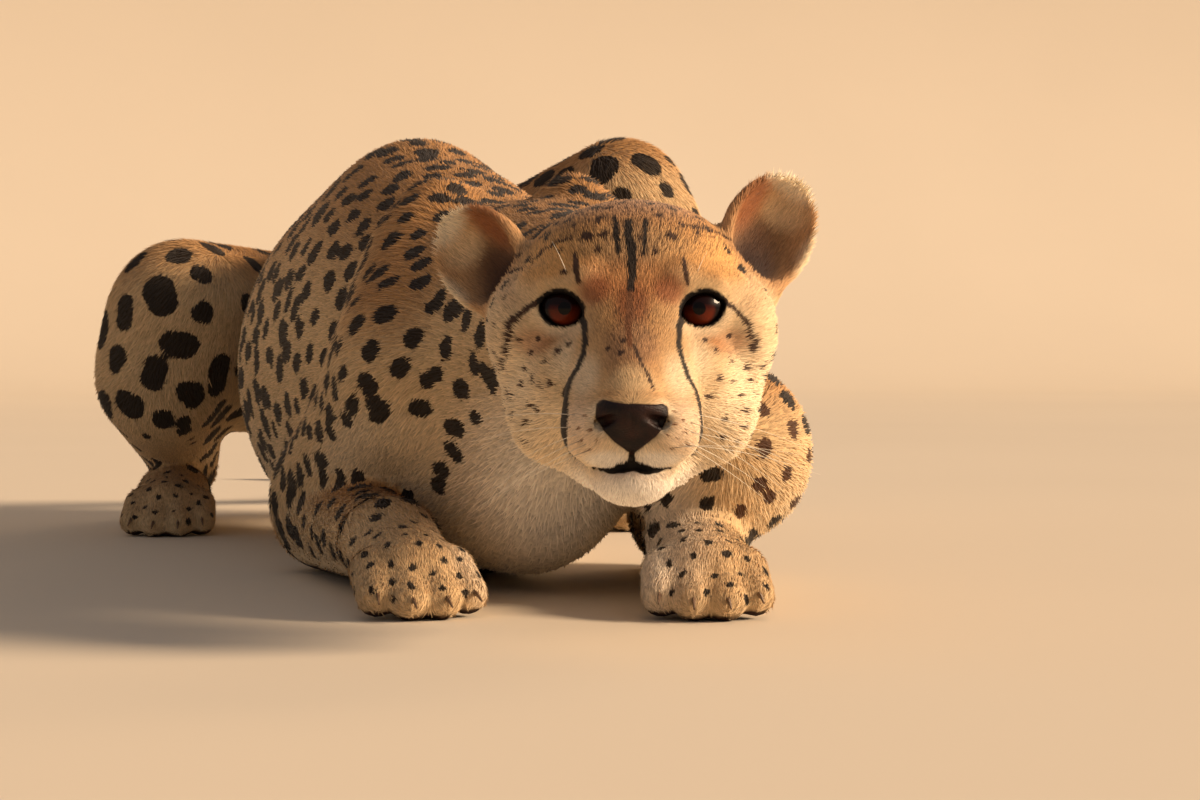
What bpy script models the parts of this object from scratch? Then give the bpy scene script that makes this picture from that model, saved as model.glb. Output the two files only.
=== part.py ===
"""A life-size cheetah that crouches on the ground and looks ahead, as a museum shows it.

The animal is described as masses of flesh (eggs, tapering limbs and chains) that melt into each
other. Each part of the body is meshed from that one form and cut off its neighbours by thin planes.
Metres, +Z up. The animal faces -Y, its left side is +X, and it rests on the floor at Z = 0.
Sizes and places below are in millimetres, measured from the floor point between its shoulder blades.
"""

import bmesh
import bpy
import numpy as np

MM = 0.001
ORIGIN = np.array((1.5, 396.0, 0.0))  # floor point under the middle of the animal's whole length
GAP = 0.3  # clearance between neighbouring parts
REACH = 45.0  # past this distance a mass has no say
MARGIN = 2.5  # each part is meshed this many cells past its planes, then cut at them

# Head: the point between the eyes, how far it turns to its right, and its own sizes
EYES = np.array((6.0, -375.0, 179.0))
HEAD_TURN = -13.2
EYE_SPACING = 71.0
EYE_DEPTH = 4.0
EYE_RADIUS = 17.5
SOCKET_RADIUS = 19.5
HEAD_BACK = 98.0
MOUTH_HEIGHT = -78.5
JAW_BACK = -8.0
NOSE_TOP = -45.5
NOSE_BOTTOM = -72.0
NOSE_FRONT = -61.0
NOSE_HALF_WIDTH = 18.0
THROAT_HEIGHT = 72.0

# Ears: centre in the head's frame, then how each is turned, pitched and rolled
EARS = {
    "left": {"centre": (75, 64, 41), "turned": (24, -8, 32)},
    "right": {"centre": (-82, 68, 27), "turned": (-34, -6, -52)},
}
EAR_RADII = (28, 17, 38)
EAR_HOLLOW = (22.5, 20, 31.5)
EAR_FOOT = 19.0
EAR_INNER = 33.0

# Joints of the forelegs and hind legs
FORELEGS = {
    "right": {
        "blade": (-40, 5, 246), "point": (-74, -80, 160), "shoulder": (-70, -92, 138),
        "elbow": (-104, 85, 58), "elbow_pad": (-102, 88, 39), "wrist": (-92, -140, 38),
        "toes": (-84, -232, 17), "shoulder_radius": 52,
        "inner": ((-60, -92), (-92, 85)), "chest": 0,
    },
    "left": {
        "blade": (48, -25, 250), "point": (88, -135, 150), "shoulder": (112, -158, 92),
        "elbow": (142, 40, 60), "elbow_pad": (142, 42, 39), "wrist": (92, -180, 38),
        "toes": (76, -272, 17), "shoulder_radius": 62,
        "inner": ((64, -158), (108, 40)), "chest": -32,
    },
}
HINDLEGS = {
    "right": {
        "hip": (-66, 600, 158), "rear": (-120, 560, 150), "knee": (-184, 428, 186),
        "kneecap": (-190, 445, 160), "shank": (-202, 436, 128), "hock": (-176, 600, 66),
        "heel": (-170, 635, 46), "ball": (-188, 500, 30), "toes": (-198, 425, 16),
        "inner": ((-126, 430), (-58, 640)), "instep": (0, 0.05, 1), "crease": (0, 0.12, 1),
    },
    "left": {
        "hip": (75, 595, 186), "rear": (120, 560, 190), "knee": (188, 440, 276),
        "kneecap": (196, 450, 240), "shank": (204, 432, 240), "hock": (178, 575, 92),
        "heel": (176, 590, 70), "ball": (188, 470, 34), "toes": (190, 395, 16),
        "inner": ((92, 430), (62, 640)), "instep": (0, -0.25, 1), "crease": (0, 0.38, 1),
    },
}
PAW_WIDTH = 33
PAW_HEIGHT = 26
TOE_SPREAD = (-0.78, -0.27, 0.27, 0.78)
CLAW_LENGTH = 15.0
CLAW_RADIUS = 2.6
CLAW_RINGS = 3
CLAW_SIDES = 5

# Where the trunk is parted, along its length, and how high the upper arm reaches
BELLY_START = 165.0
RUMP_START = 470.0
TAIL_START = 668.0
ARM_TOP = 196.0
NECK_BOTTOM = 84.0

# The tail's path along the floor, and its radius at shares of its length
TAIL = (
    (4, 650, 215), (8, 715, 165), (18, 765, 95), (42, 825, 40), (78, 905, 26),
    (100, 1000, 23), (92, 1095, 21), (52, 1175, 20), (-15, 1225, 20),
)
TAIL_SHARES = (0, 0.12, 0.3, 0.6, 0.92, 1)
TAIL_RADII = (46, 33, 26, 23, 21, 16)

# Colours of the coat and bare skin: (red, green, blue) and roughness
COLOURS = {
    "coat": ((0.56, 0.37, 0.18), 0.85),
    "pale_coat": ((0.78, 0.68, 0.52), 0.88),
    "nose": ((0.035, 0.022, 0.018), 0.45),
    "eye": ((0.16, 0.05, 0.015), 0.08),
    "claw": ((0.10, 0.07, 0.05), 0.35),
}


# ---------------------------------------------------------------- directions and places
def unit(v):
    v = np.asarray(v, float)
    return v / np.linalg.norm(v)


def turn(yaw=0.0, pitch=0.0, roll=0.0):
    """Rotation matrix: yaw about Z, then pitch about X, then roll about Y, in degrees."""
    y, p, r = np.radians((yaw, pitch, roll))
    about_z = np.array([[np.cos(y), -np.sin(y), 0], [np.sin(y), np.cos(y), 0], [0, 0, 1]])
    about_x = np.array([[1, 0, 0], [0, np.cos(p), -np.sin(p)], [0, np.sin(p), np.cos(p)]])
    about_y = np.array([[np.cos(r), 0, np.sin(r)], [0, 1, 0], [-np.sin(r), 0, np.cos(r)]])
    return about_z @ about_x @ about_y


HEAD = turn(HEAD_TURN)


def at_head(p):
    """A place given in the head's own frame (X to its left, -Y to its nose, Z up)."""
    return EYES + HEAD @ np.array(p, float)


def smooth_path(points, steps):
    """Points along a smooth curve through the given ones."""
    p = np.array(points, float)
    ends = np.vstack([2 * p[0] - p[1], p, 2 * p[-1] - p[-2]])
    out = []
    for a, b, c, d in zip(ends, ends[1:], ends[2:], ends[3:]):
        for t in np.linspace(0, 1, steps, endpoint=False):
            cubic = (3 * b - a - 3 * c + d) * t**3
            out.append(0.5 * (2 * b + (c - a) * t + (2 * a - 5 * b + 4 * c - d) * t**2 + cubic))
    return np.array(out + [p[-1]])


# ---------------------------------------------------------------- masses of flesh
def melt(a, b, k):
    """Union of two distances, rounded over the width k."""
    h = np.clip(0.5 + 0.5 * (b - a) / k, 0, 1)
    return b + (a - b) * h - k * h * (1 - h)


class Egg:
    """An ellipsoid, or the hollow it leaves if cut is set."""

    def __init__(self, centre, radii, axes=np.eye(3), blend=20, cut=False):
        self.centre, self.radii, self.axes = np.array(centre, float), np.array(radii, float), axes
        self.blend, self.cut = blend, cut
        reach = np.abs(axes) @ self.radii + REACH
        self.low, self.high = self.centre - reach, self.centre + reach

    def distance(self, p):
        q = (p - self.centre) @ self.axes
        inner = np.sqrt(((q / self.radii) ** 2).sum(-1)) + 1e-9
        slope = np.sqrt(((q / self.radii**2) ** 2).sum(-1)) + 1e-9
        return inner * (inner - 1) / slope


class Limb:
    """A tapering length between two points, wider across one direction by the share given."""

    def __init__(self, start, end, r0, r1, blend=20, share=1.0, across=(1, 0, 0)):
        self.start, self.end = np.array(start, float), np.array(end, float)
        self.r0, self.r1, self.blend, self.cut = r0, r1, blend, False
        self.share, self.across = share, unit(across)
        reach = max(r0, r1) * max(1, share) + REACH
        self.low = np.minimum(self.start, self.end) - reach
        self.high = np.maximum(self.start, self.end) + reach

    def distance(self, p):
        run = self.end - self.start
        t = np.clip((p - self.start) @ run / (run @ run), 0, 1)
        q = p - self.start - t[..., None] * run
        size = np.sqrt((q**2).sum(-1)) + 1e-9
        wide = (q @ self.across) * (1 / self.share - 1)
        even = np.sqrt(((q + wide[..., None] * self.across) ** 2).sum(-1)) + 1e-9
        return size * (1 - (self.r0 + (self.r1 - self.r0) * t) / even)


class Chain:
    """A length along a path, with its radius at each point."""

    def __init__(self, path, radii, blend=30):
        self.path, self.radii, self.blend, self.cut = np.array(path), np.array(radii), blend, False
        reach = self.radii.max() + REACH
        self.low, self.high = self.path.min(0) - reach, self.path.max(0) + reach

    def distance(self, p):
        best = np.full(p.shape[:-1], 1e4)
        for a, b, r0, r1 in zip(self.path, self.path[1:], self.radii, self.radii[1:]):
            run = b - a
            t = np.clip((p - a) @ run / (run @ run), 0, 1)
            off = np.sqrt(((p - a - t[..., None] * run) ** 2).sum(-1))
            best = np.minimum(best, off - (r0 + (r1 - r0) * t))
        return best


def head_egg(centre, radii, axes=np.eye(3), **how):
    return Egg(at_head(centre), radii, HEAD @ axes, **how)


def head_limb(start, end, r0, r1, across=(1, 0, 0), **how):
    return Limb(at_head(start), at_head(end), r0, r1, across=HEAD @ unit(across), **how)


# ---------------------------------------------------------------- the animal
def trunk():
    """Chest, deep ribs, belly and rump, curved a little to its right, with the ridge of the spine."""
    return [
        Egg((-4, 60, 132), (100, 190, 136), blend=30),
        Egg((8, -75, 108), (76, 95, 100), blend=40),
        Egg((-26, 170, 148), (112, 175, 154), blend=50),
        Egg((-30, 290, 138), (121, 170, 143), blend=50),
        Egg((-16, 430, 154), (93, 140, 112), blend=45),
        Egg((2, 575, 162), (100, 118, 108), turn(roll=-12), blend=45),
        Limb((-26, 180, 262), (2, 560, 232), 36, 40, blend=50),
    ]


def neck():
    return [
        Limb((12, -90, 152), (30, -265, 164), 90, 60, blend=40),
        Limb((12, -60, 185), (28, -255, 182), 54, 44, blend=40),
    ]


def foreleg(leg):
    """Shoulder blade, upper arm and forearm."""
    blade, point, shoulder = (np.array(leg[k], float) for k in ("blade", "point", "shoulder"))
    low = blade + (point - blade) * 0.25 + (0, 5, -18)
    return [
        Limb(blade, point, 27, 44, blend=26),
        Limb(low, point + (0, 45, -15), 40, 47, blend=26),
        Limb(shoulder, leg["elbow"], leg["shoulder_radius"], 43, blend=15),
        Limb(leg["elbow_pad"], leg["wrist"], 43, 30, blend=12),
    ]


def hindleg(leg):
    """Thigh, knee, shank and the long hind foot."""
    return [
        Limb(leg["hip"], leg["knee"], 80, 61, blend=22),
        Limb(leg["rear"], leg["kneecap"], 73, 61, blend=22),
        Limb(leg["shank"], leg["hock"], 56, 37, blend=20),
        Limb(leg["heel"], leg["ball"], 31, 24, blend=12),
    ]


def toes(leg, start):
    """(base of the toes, then (knuckle, tip) of each toe) for a paw that points from start."""
    end = np.array(leg["toes"], float)
    ahead = unit(end - leg[start])
    side = unit(np.cross(ahead, (0, 0, 1)))
    base = end - ahead * PAW_HEIGHT * 1.1
    found = []
    for share in TOE_SPREAD:
        lead = 6 if abs(share) < 0.5 else -4
        knuckle = base + side * share * PAW_WIDTH * 0.9 + ahead * lead + (0, 0, 2)
        tip = base + side * share * PAW_WIDTH * 1.05 + ahead * (lead + PAW_HEIGHT) - (0, 0, 5)
        found.append((knuckle, tip))
    return base, side, found


def paw(leg, start):
    base, side, digits = toes(leg, start)
    height = PAW_HEIGHT
    masses = [
        Limb(leg[start], base, height * 1.12, height * 0.95, blend=10,
             share=PAW_WIDTH / height * 0.95, across=side)
    ]
    for knuckle, tip in digits:
        masses.append(Limb(knuckle, tip, height * 0.62, height * 0.52, blend=5))
    return masses


def tail():
    path = smooth_path(TAIL, 4)
    radii = np.interp(np.linspace(0, 1, len(path)), TAIL_SHARES, TAIL_RADII)
    return [Chain(path, radii)]


def head():
    """Skull, brows, cheeks, muzzle and jaw, with hollows for the eyes."""
    masses = [
        head_egg((0, 62, 2), (69, 66, 61), blend=16),
        head_egg((0, 24, 15), (54, 44, 42), blend=16),
        head_egg((0, 40, -44), (58, 60, 46), blend=16),
    ]
    for s in (-1, 1):
        masses += [
            head_egg((s * 57, 36, -12), (24, 44, 32), blend=14),
            head_egg((s * 44, 34, -48), (27, 42, 38), blend=14),
            head_egg((s * 33, -2, -36), (22, 28, 27), blend=12),
            head_limb((s * 24, -12, 15), (s * 52, 8, 13), 9, 8, blend=10),
            head_limb((s * 13, -13, -4), (s * 19, -41, -46), 15, 15, blend=12),
        ]
    masses += [
        head_limb((0, -4, 4), (0, -60, -42), 18, 12, blend=12, share=1.25),
        head_egg((0, -34, -57), (33, 36, 25), blend=12),
        head_egg((0, -41, -87), (19, 20, 12), blend=7),
        head_limb((0, -34, -84), (0, 30, -72), 17, 34, blend=14, share=1.2),
    ]
    masses += [head_egg((s * 18, -50, -63), (18, 21, 17), blend=11) for s in (-1, 1)]
    masses += [head_egg((0, -68, -52), (17, 9, 11), blend=4)]
    socket = (SOCKET_RADIUS,) * 3
    masses += [head_egg(eye, socket, blend=5, cut=True) for eye in eye_places()]
    return masses


def eye_places():
    return [(s * EYE_SPACING / 2, EYE_DEPTH, 0) for s in (-1, 1)]


def ear(place):
    """A cupped ear on its base."""
    axes = turn(*place["turned"])
    centre = np.array(place["centre"], float)
    return [
        head_egg(centre - axes @ (0, -4, 30), (24, 20, 18), axes, blend=10),
        head_egg(centre, EAR_RADII, axes, blend=7),
        head_egg(centre + axes @ (0, -10, 3), EAR_HOLLOW, axes, blend=4, cut=True),
    ]


def animal():
    masses = trunk()
    for leg in HINDLEGS.values():
        masses += hindleg(leg)
    for leg in FORELEGS.values():
        masses += foreleg(leg)
    for leg in FORELEGS.values():
        masses += paw(leg, "wrist")
    for leg in HINDLEGS.values():
        masses += paw(leg, "ball")
    masses += tail() + neck() + head()
    for side in EARS.values():
        masses += ear(side)
    return masses


# ---------------------------------------------------------------- from masses to a mesh
def distances(masses, axes):
    """The animal's distance at each point of a grid."""
    out = np.full([len(a) for a in axes], REACH)
    for mass in masses:
        part = tuple(slice(*np.searchsorted(a, ends)) for a, ends in zip(axes, zip(mass.low, mass.high)))
        if any(s.start >= s.stop for s in part):
            continue
        points = np.stack(np.meshgrid(*[a[s] for a, s in zip(axes, part)], indexing="ij"), -1)
        d = mass.distance(points)
        out[part] = -melt(-out[part], d, mass.blend) if mass.cut else melt(out[part], d, mass.blend)
    return out


def crossings(values, where):
    """For each cell, the mean of the points where the surface crosses its twelve edges."""
    total, count = np.zeros((len(where), 3)), np.zeros(len(where))
    for start in np.ndindex(2, 2, 2):
        for axis in range(3):
            if start[axis]:
                continue
            step = np.eye(3, dtype=int)[axis]
            a = values[tuple((where + start).T)]
            b = values[tuple((where + start + step).T)]
            cross = (a < 0) != (b < 0)
            share = np.where(cross, a / np.where(cross, a - b, 1), 0)
            place = np.array(start, float) + share[:, None] * step
            total += np.where(cross[:, None], place, 0)
            count += cross
    return total / count[:, None]


def surface(values, low, cell):
    """Points and four-sided faces of the surface where the values pass zero."""
    inside = values < 0
    corners = sum(inside[i:i - 1 or None, j:j - 1 or None, k:k - 1 or None].astype(int)
                  for i, j, k in np.ndindex(2, 2, 2))
    where = np.argwhere((corners > 0) & (corners < 8))
    index = np.full(corners.shape, -1)
    index[tuple(where.T)] = np.arange(len(where))
    points = low + (where + crossings(values, where)) * cell
    faces = []
    for axis in range(3):
        first = np.take(inside, range(values.shape[axis] - 1), axis)
        second = np.take(inside, range(1, values.shape[axis]), axis)
        edges = np.argwhere(first != second)
        u, v = np.eye(3, dtype=int)[[(axis + 1) % 3, (axis + 2) % 3]]
        ring = np.stack([index[tuple((edges - s).T)] for s in (0 * u, u, u + v, v)], 1)
        faces.append(np.where(first[tuple(edges.T)][:, None], ring, ring[:, ::-1]))
    return points, np.concatenate(faces)


def part_corners(values, cell):
    """Fills grid points where two bodies would touch along an edge or at a corner only."""
    fill = -0.02 * cell
    for _ in range(8):
        inside = values < 0
        new = np.zeros(values.shape, bool)
        for axis in range(3):
            i = np.moveaxis(inside, axis, 0)
            n = np.moveaxis(new, axis, 0)
            a, b, c, d = i[:, :-1, :-1], i[:, 1:, :-1], i[:, :-1, 1:], i[:, 1:, 1:]
            crossed = ((a & d) & ~(b | c)) | ((b & c) & ~(a | d))
            for part in (n[:, :-1, :-1], n[:, 1:, :-1], n[:, :-1, 1:], n[:, 1:, 1:]):
                part |= crossed
        for corner in np.ndindex(2, 2, 2):
            near = tuple(slice(c, c - 1 or None) for c in corner)
            far = tuple(slice(1 - c, -c or None) for c in corner)
            block = sum(inside[i:i - 1 or None, j:j - 1 or None, k:k - 1 or None].astype(int)
                        for i, j, k in np.ndindex(2, 2, 2))
            lone = inside[near] & inside[far] & (block == 2)
            hollow = ~inside[near] & ~inside[far] & (block == 6)
            for i, j, k in np.ndindex(2, 2, 2):
                new[i:i - 1 or None, j:j - 1 or None, k:k - 1 or None] |= lone | hollow
        new &= ~inside
        if not new.any():
            return values
        values = np.where(new, fill, values)
    return values


def beyond(planes, axes):
    """How far each point of a grid lies outside the space within the planes."""
    out = np.full([len(a) for a in axes], -1e3)
    for point, normal in planes:
        n, p = unit(normal), np.array(point, float)
        x, y, z = (n[i] * (axes[i] - p[i]) for i in range(3))
        out = np.maximum(out, x[:, None, None] + y[None, :, None] + z[None, None, :])
    return out


def flesh(name, space, others, low, high, cell, triangles):
    """The animal's form a little past the given space, as a closed mesh of about that many triangles."""
    low, high = np.array(low, float), np.array(high, float)
    axes = [np.arange(a - 2 * cell, b + 3 * cell, cell) for a, b in zip(low, high)]
    values = distances(ANIMAL, axes)
    for i, axis in enumerate(axes):
        wall = np.maximum(low[i] - axis, axis - high[i]).reshape([-1 if j == i else 1 for j in range(3)])
        values = np.maximum(values, wall)
    values = np.maximum(values, beyond(space, axes) - MARGIN * cell)
    for other in others:
        values = np.maximum(values, -beyond(other, axes) - MARGIN * cell)
    points, faces = surface(part_corners(values, cell), np.array([a[0] for a in axes]), cell)
    mesh = bpy.data.meshes.new(name)
    mesh.from_pydata(((points - ORIGIN) * MM).tolist(), [], faces.tolist())
    made = bpy.data.objects.new(name, mesh)
    bpy.context.collection.objects.link(made)
    keep_largest(made)
    thin = made.modifiers.new("thin", "DECIMATE")
    thin.ratio = min(1, triangles / (2 * len(made.data.polygons)))
    apply(made)
    return made


# ---------------------------------------------------------------- cutting
def apply(obj):
    """Makes the object's modifiers part of its mesh."""
    graph = bpy.context.evaluated_depsgraph_get()
    mesh = bpy.data.meshes.new_from_object(obj.evaluated_get(graph))
    obj.modifiers.clear()
    obj.data = mesh


def wedge(planes, grow=0.0):
    """The space on the near side of all the planes, each given as (point, normal out of it)."""
    cutter = bmesh.new()
    bmesh.ops.create_cube(cutter, size=4.0)
    for point, normal in planes:
        n = unit(normal)
        co = (np.array(point, float) - ORIGIN + n * grow) * MM
        geometry = cutter.verts[:] + cutter.edges[:] + cutter.faces[:]
        cut = bmesh.ops.bisect_plane(cutter, geom=geometry, plane_co=co, plane_no=n, clear_outer=True)
        rim = [e for e in cut["geom_cut"] if isinstance(e, bmesh.types.BMEdge)]
        bmesh.ops.contextual_create(cutter, geom=rim)
    bmesh.ops.recalc_face_normals(cutter, faces=cutter.faces)
    return cutter


def combine(obj, other, operation):
    """Applies a Boolean with a mesh, which is a bmesh or an object."""
    cutter = other
    if isinstance(other, bmesh.types.BMesh):
        mesh = bpy.data.meshes.new("cutter")
        other.to_mesh(mesh)
        cutter = bpy.data.objects.new("cutter", mesh)
        bpy.context.collection.objects.link(cutter)
    boolean = obj.modifiers.new("cut", "BOOLEAN")
    boolean.operation, boolean.object = operation, cutter
    boolean.solver = "EXACT"
    apply(obj)
    if cutter is not other:
        bpy.data.objects.remove(cutter)


def keep_largest(obj):
    """Drops crumbs that a cut has left beside the part."""
    body = bmesh.new()
    body.from_mesh(obj.data)
    left, islands = set(body.verts), []
    while left:
        island, edge = set(), [left.pop()]
        while edge:
            v = edge.pop()
            island.add(v)
            near = {e.other_vert(v) for e in v.link_edges} & left
            left -= near
            edge += near
        islands.append(island)
    largest = max(islands, key=len)
    bmesh.ops.delete(body, geom=[v for v in body.verts if v not in largest], context="VERTS")
    body.to_mesh(obj.data)
    body.free()


# ---------------------------------------------------------------- the parts
FLOOR = ((0, 0, 0), (0, 0, -1))
BELOW = -13.0  # the boxes reach under the floor, so that the floor's plane cuts the flats


def head_plane(point, normal):
    return at_head(point), HEAD @ np.array(normal, float)


def side_plane(near, far, side):
    """An upright plane through two (x, y) points, facing the middle of the body."""
    (x0, y0), (x1, y1) = near, far
    return (x0, y0, 0), (side * -(y1 - y0), side * (x1 - x0), 0)


def head_parts():
    """Each part as: space, box (low, high), cell of its mesh, triangles, what is cut out of it."""
    low, high = at_head((0, 0, 0)) - (125, 110, 112), at_head((0, 0, 0)) + (125, 130, 95)
    nose = [
        head_plane((0, NOSE_FRONT, 0), (0, 1, 0)),
        head_plane((0, 0, NOSE_TOP), (0, 0.35, 1)),
        head_plane((NOSE_HALF_WIDTH, 0, 0), (1, 0, 0)),
        head_plane((-NOSE_HALF_WIDTH, 0, 0), (-1, 0, 0)),
        head_plane((0, 0, NOSE_BOTTOM), (1, 0, -0.95)),
        head_plane((0, 0, NOSE_BOTTOM), (-1, 0, -0.95)),
    ]
    chin = ((0, 0, THROAT_HEIGHT), (0, 0, -1))
    jaw = [head_plane((0, 0, MOUTH_HEIGHT), (0, 0.05, 1)), head_plane((0, JAW_BACK, 0), (0, 1, 0.3)), chin]
    back = head_plane((0, HEAD_BACK, 0), (0, 1, -0.25))
    parts = {
        "nose": (nose, low, high, 2.2, 150, ()),
        "jaw": (jaw, low, high, 3.0, 260, ()),
        "head": ([back, chin], low, high, 3.0, 1800, ("nose", "jaw", "ear_left", "ear_right")),
    }
    for name, place in EARS.items():
        axes, centre = turn(*place["turned"]), np.array(place["centre"], float)
        inward = -axes[:, 0] if name == "left" else axes[:, 0]
        base = head_plane(centre - axes[:, 2] * EAR_FOOT, -axes[:, 2])
        inner = head_plane(centre + inward * EAR_INNER, inward)
        parts["ear_" + name] = ([base, inner, back], low, high, 2.6, 380, ())
    return parts


def foreleg_parts(name, side):
    leg = FORELEGS[name]
    wrist, elbow = np.array(leg["wrist"], float), np.array(leg["elbow"], float)
    inner = side_plane(*leg["inner"], side)
    level = (wrist + (0, 0, 30), (0, -0.05, 1))
    ahead = ((0, wrist[1] - 22 + leg["chest"], 0), (0, -1, 0))
    front = (wrist + (0, -22, 0), (0, 1, 0))
    low = np.array((min(side * 20, side * 220), -340, BELOW))
    high = np.array((max(side * 20, side * 220), 170, 215))
    above_paw = (wrist + (0, 0, 37), (0, -0.02, 1))
    behind_elbow = (elbow + (0, 60, 0), (0, 1, 0.2))
    top = ((0, 0, ARM_TOP), (0, 0, 1))
    return {
        "forepaw_" + name: ([FLOOR, above_paw, front, inner], low, high, 4.0, 290, ()),
        "forearm_" + name: ([FLOOR, level, inner, (elbow + (0, 58, 0), (0, 1, 0))], low, high, 6.0, 260,
                            ("forepaw_" + name,)),
        "upper_arm_" + name: ([inner, behind_elbow, ahead, top], low, high, 6.0, 420,
                              ("forepaw_" + name, "forearm_" + name)),
    }


def hindleg_parts(name, side):
    leg = HINDLEGS[name]
    inner = side_plane(*leg["inner"], side)
    ankle = (np.array(leg["heel"], float) + (0, -60, 28), leg["instep"])
    shank, hock = np.array(leg["shank"], float), np.array(leg["hock"], float)
    crease = (shank * 0.45 + hock * 0.55 + (0, 0, 30), leg["crease"])
    front = ((0, 340, 0), (0, -1, 0))
    low = np.array((min(side * 20, side * 290), 330, BELOW))
    high = np.array((max(side * 20, side * 290), 720, 360))
    return {
        "hindpaw_" + name: ([FLOOR, ankle, inner, front], low, high, 4.0, 370, ()),
        "shank_" + name: ([crease, inner, front, FLOOR], low, high, 6.0, 300, ("hindpaw_" + name,)),
        "thigh_" + name: ([inner, front, FLOOR], low, high, 7.0, 480, ("hindpaw_" + name, "shank_" + name)),
    }


def tail_parts():
    path = smooth_path(TAIL, 4)
    parts, taken = {}, ()
    lengths = (("tail_tip", 0.68, 170), ("tail_middle", 0.4, 170), ("tail_base", 0.06, 260))
    for name, share, triangles in lengths:
        i = int(share * (len(path) - 1))
        space = [FLOOR, (path[i], path[i] - path[i + 1])]
        space += [((0, TAIL_START, 0), (0, -1, 0)), ((-40, 0, 0), (-1, 0, 0))]
        space += [((42, TAIL_START, 0), (0.88, -0.47, 0))]
        parts[name] = (space, (-60, 640, BELOW), (150, 1260, 260), 5.0, triangles, taken)
        taken = (name,)
    return parts


def body_parts():
    legs = [part + side for part in ("upper_arm_", "forearm_", "forepaw_") for side in FORELEGS]
    hind = [part + side for part in ("thigh_", "shank_", "hindpaw_") for side in HINDLEGS]
    neck = [((0, -142, 150), (0, 1, 0.35)), ((0, 0, NECK_BOTTOM), (0, 0, -1))]
    arms = [name for name in legs if "upper" in name]
    low, high = (-200, -340, BELOW), (200, 740, 330)
    return {
        "neck": (neck, low, high, 6.0, 280, ("head", *arms)),
        "rump": ([FLOOR, ((0, RUMP_START, 0), (0, -1, 0))], low, high, 7.0, 320, ("tail_base", *hind)),
        "belly": ([FLOOR, ((0, BELLY_START, 0), (0, -1, 0)), ((0, RUMP_START - GAP, 0), (0, 1, 0))],
                  low, high, 7.0, 380, (*legs, *hind)),
        "chest": ([FLOOR, ((0, BELLY_START - GAP, 0), (0, 1, 0))], low, high, 7.0, 420, ("neck", *legs)),
    }


def all_parts():
    parts = head_parts()
    for name, side in (("left", 1), ("right", -1)):
        parts |= foreleg_parts(name, side) | hindleg_parts(name, side)
    return parts | tail_parts() | body_parts()


# ---------------------------------------------------------------- materials
def material(name):
    (red, green, blue), roughness = COLOURS[name]
    made = bpy.data.materials.new(name)
    made.use_nodes = True
    shader = made.node_tree.nodes["Principled BSDF"]
    shader.inputs["Base Color"].default_value = (red, green, blue, 1)
    shader.inputs["Roughness"].default_value = roughness
    return made


def finish(obj, colour):
    obj.data.materials.clear()
    obj.data.materials.append(colour)
    obj.data.shade_smooth()
    obj.data.set_sharp_from_angle(angle=np.radians(50))


# ---------------------------------------------------------------- eyes and claws
def ball(name, centre, radius):
    """An eyeball: a faceted sphere."""
    bpy.ops.mesh.primitive_uv_sphere_add(
        segments=16, ring_count=10, radius=radius * MM, location=(centre - ORIGIN) * MM)
    made = bpy.context.object
    made.name = name
    return made


def claw(name, root, ahead, grow=0.0):
    """A blunt claw that curves down as it goes ahead, as rings of points and a tip."""
    side = unit(np.cross(ahead, (0, 0, 1)))
    made, rings = bmesh.new(), []
    for share in np.linspace(0, 1, CLAW_RINGS):
        along = share * (CLAW_LENGTH + 2 * grow) - grow
        centre = root + ahead * along - np.array((0, 0, 4.5)) * share**2
        radius = CLAW_RADIUS * (1 - 0.72 * share) + grow
        angles = np.linspace(0, 2 * np.pi, CLAW_SIDES, endpoint=False)
        up = np.array((0, 0, 1))
        ring = [centre + radius * (0.7 * np.cos(a) * side + np.sin(a) * up) for a in angles]
        rings.append([made.verts.new((p - ORIGIN) * MM) for p in ring])
    for a, b in zip(rings, rings[1:]):
        for i in range(CLAW_SIDES):
            j = (i + 1) % CLAW_SIDES
            made.faces.new((a[i], a[j], b[j], b[i]))
    made.faces.new(rings[0][::-1])
    made.faces.new(rings[-1])
    bmesh.ops.recalc_face_normals(made, faces=made.faces)
    mesh = bpy.data.meshes.new(name)
    made.to_mesh(mesh)
    made.free()
    obj = bpy.data.objects.new(name, mesh)
    bpy.context.collection.objects.link(obj)
    return obj


def seat(guest, host, larger):
    """Cuts a seat for one piece into another, a little larger than the piece."""
    combine(host, larger, "DIFFERENCE")
    bpy.data.objects.remove(larger)
    keep_largest(host)
    return guest


def add_eyes(nodes):
    for name, place in zip(("eye_right", "eye_left"), eye_places()):
        centre = at_head(place)
        larger = ball("seat", centre, EYE_RADIUS + GAP)
        nodes[name] = seat(ball(name, centre, EYE_RADIUS), nodes["head"], larger)


def add_claws(nodes):
    for paw_name, legs, start in (("forepaw_", FORELEGS, "wrist"), ("hindpaw_", HINDLEGS, "ball")):
        for side, leg in legs.items():
            host = nodes[paw_name + side]
            for number, (knuckle, tip) in enumerate(toes(leg, start)[2], 1):
                ahead = unit((tip - knuckle) * (1, 1, 0))
                root = tip + ahead * 7 + (0, 0, 2.5)
                name = f"claw_{paw_name}{side}_{number}"
                nodes[name] = seat(claw(name, root, ahead), host, claw("seat", root, ahead, GAP))


# ---------------------------------------------------------------- the whole
def main():
    for obj in list(bpy.data.objects):
        bpy.data.objects.remove(obj)
    parts = all_parts()
    colours = {name: material(name) for name in COLOURS}
    nodes = {}
    for name, (space, low, high, cell, triangles, cut_by) in parts.items():
        others = [parts[other][0] for other in cut_by]
        node = flesh(name, space, others, low, high, cell, triangles)
        combine(node, wedge(space), "INTERSECT")
        for other in others:
            combine(node, wedge(other, GAP), "DIFFERENCE")
        keep_largest(node)
        nodes[name] = node
    add_eyes(nodes)
    add_claws(nodes)
    for name, node in nodes.items():
        kind = name.split("_")[0]
        finish(node, colours[kind if kind in COLOURS else "coat"])


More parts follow.
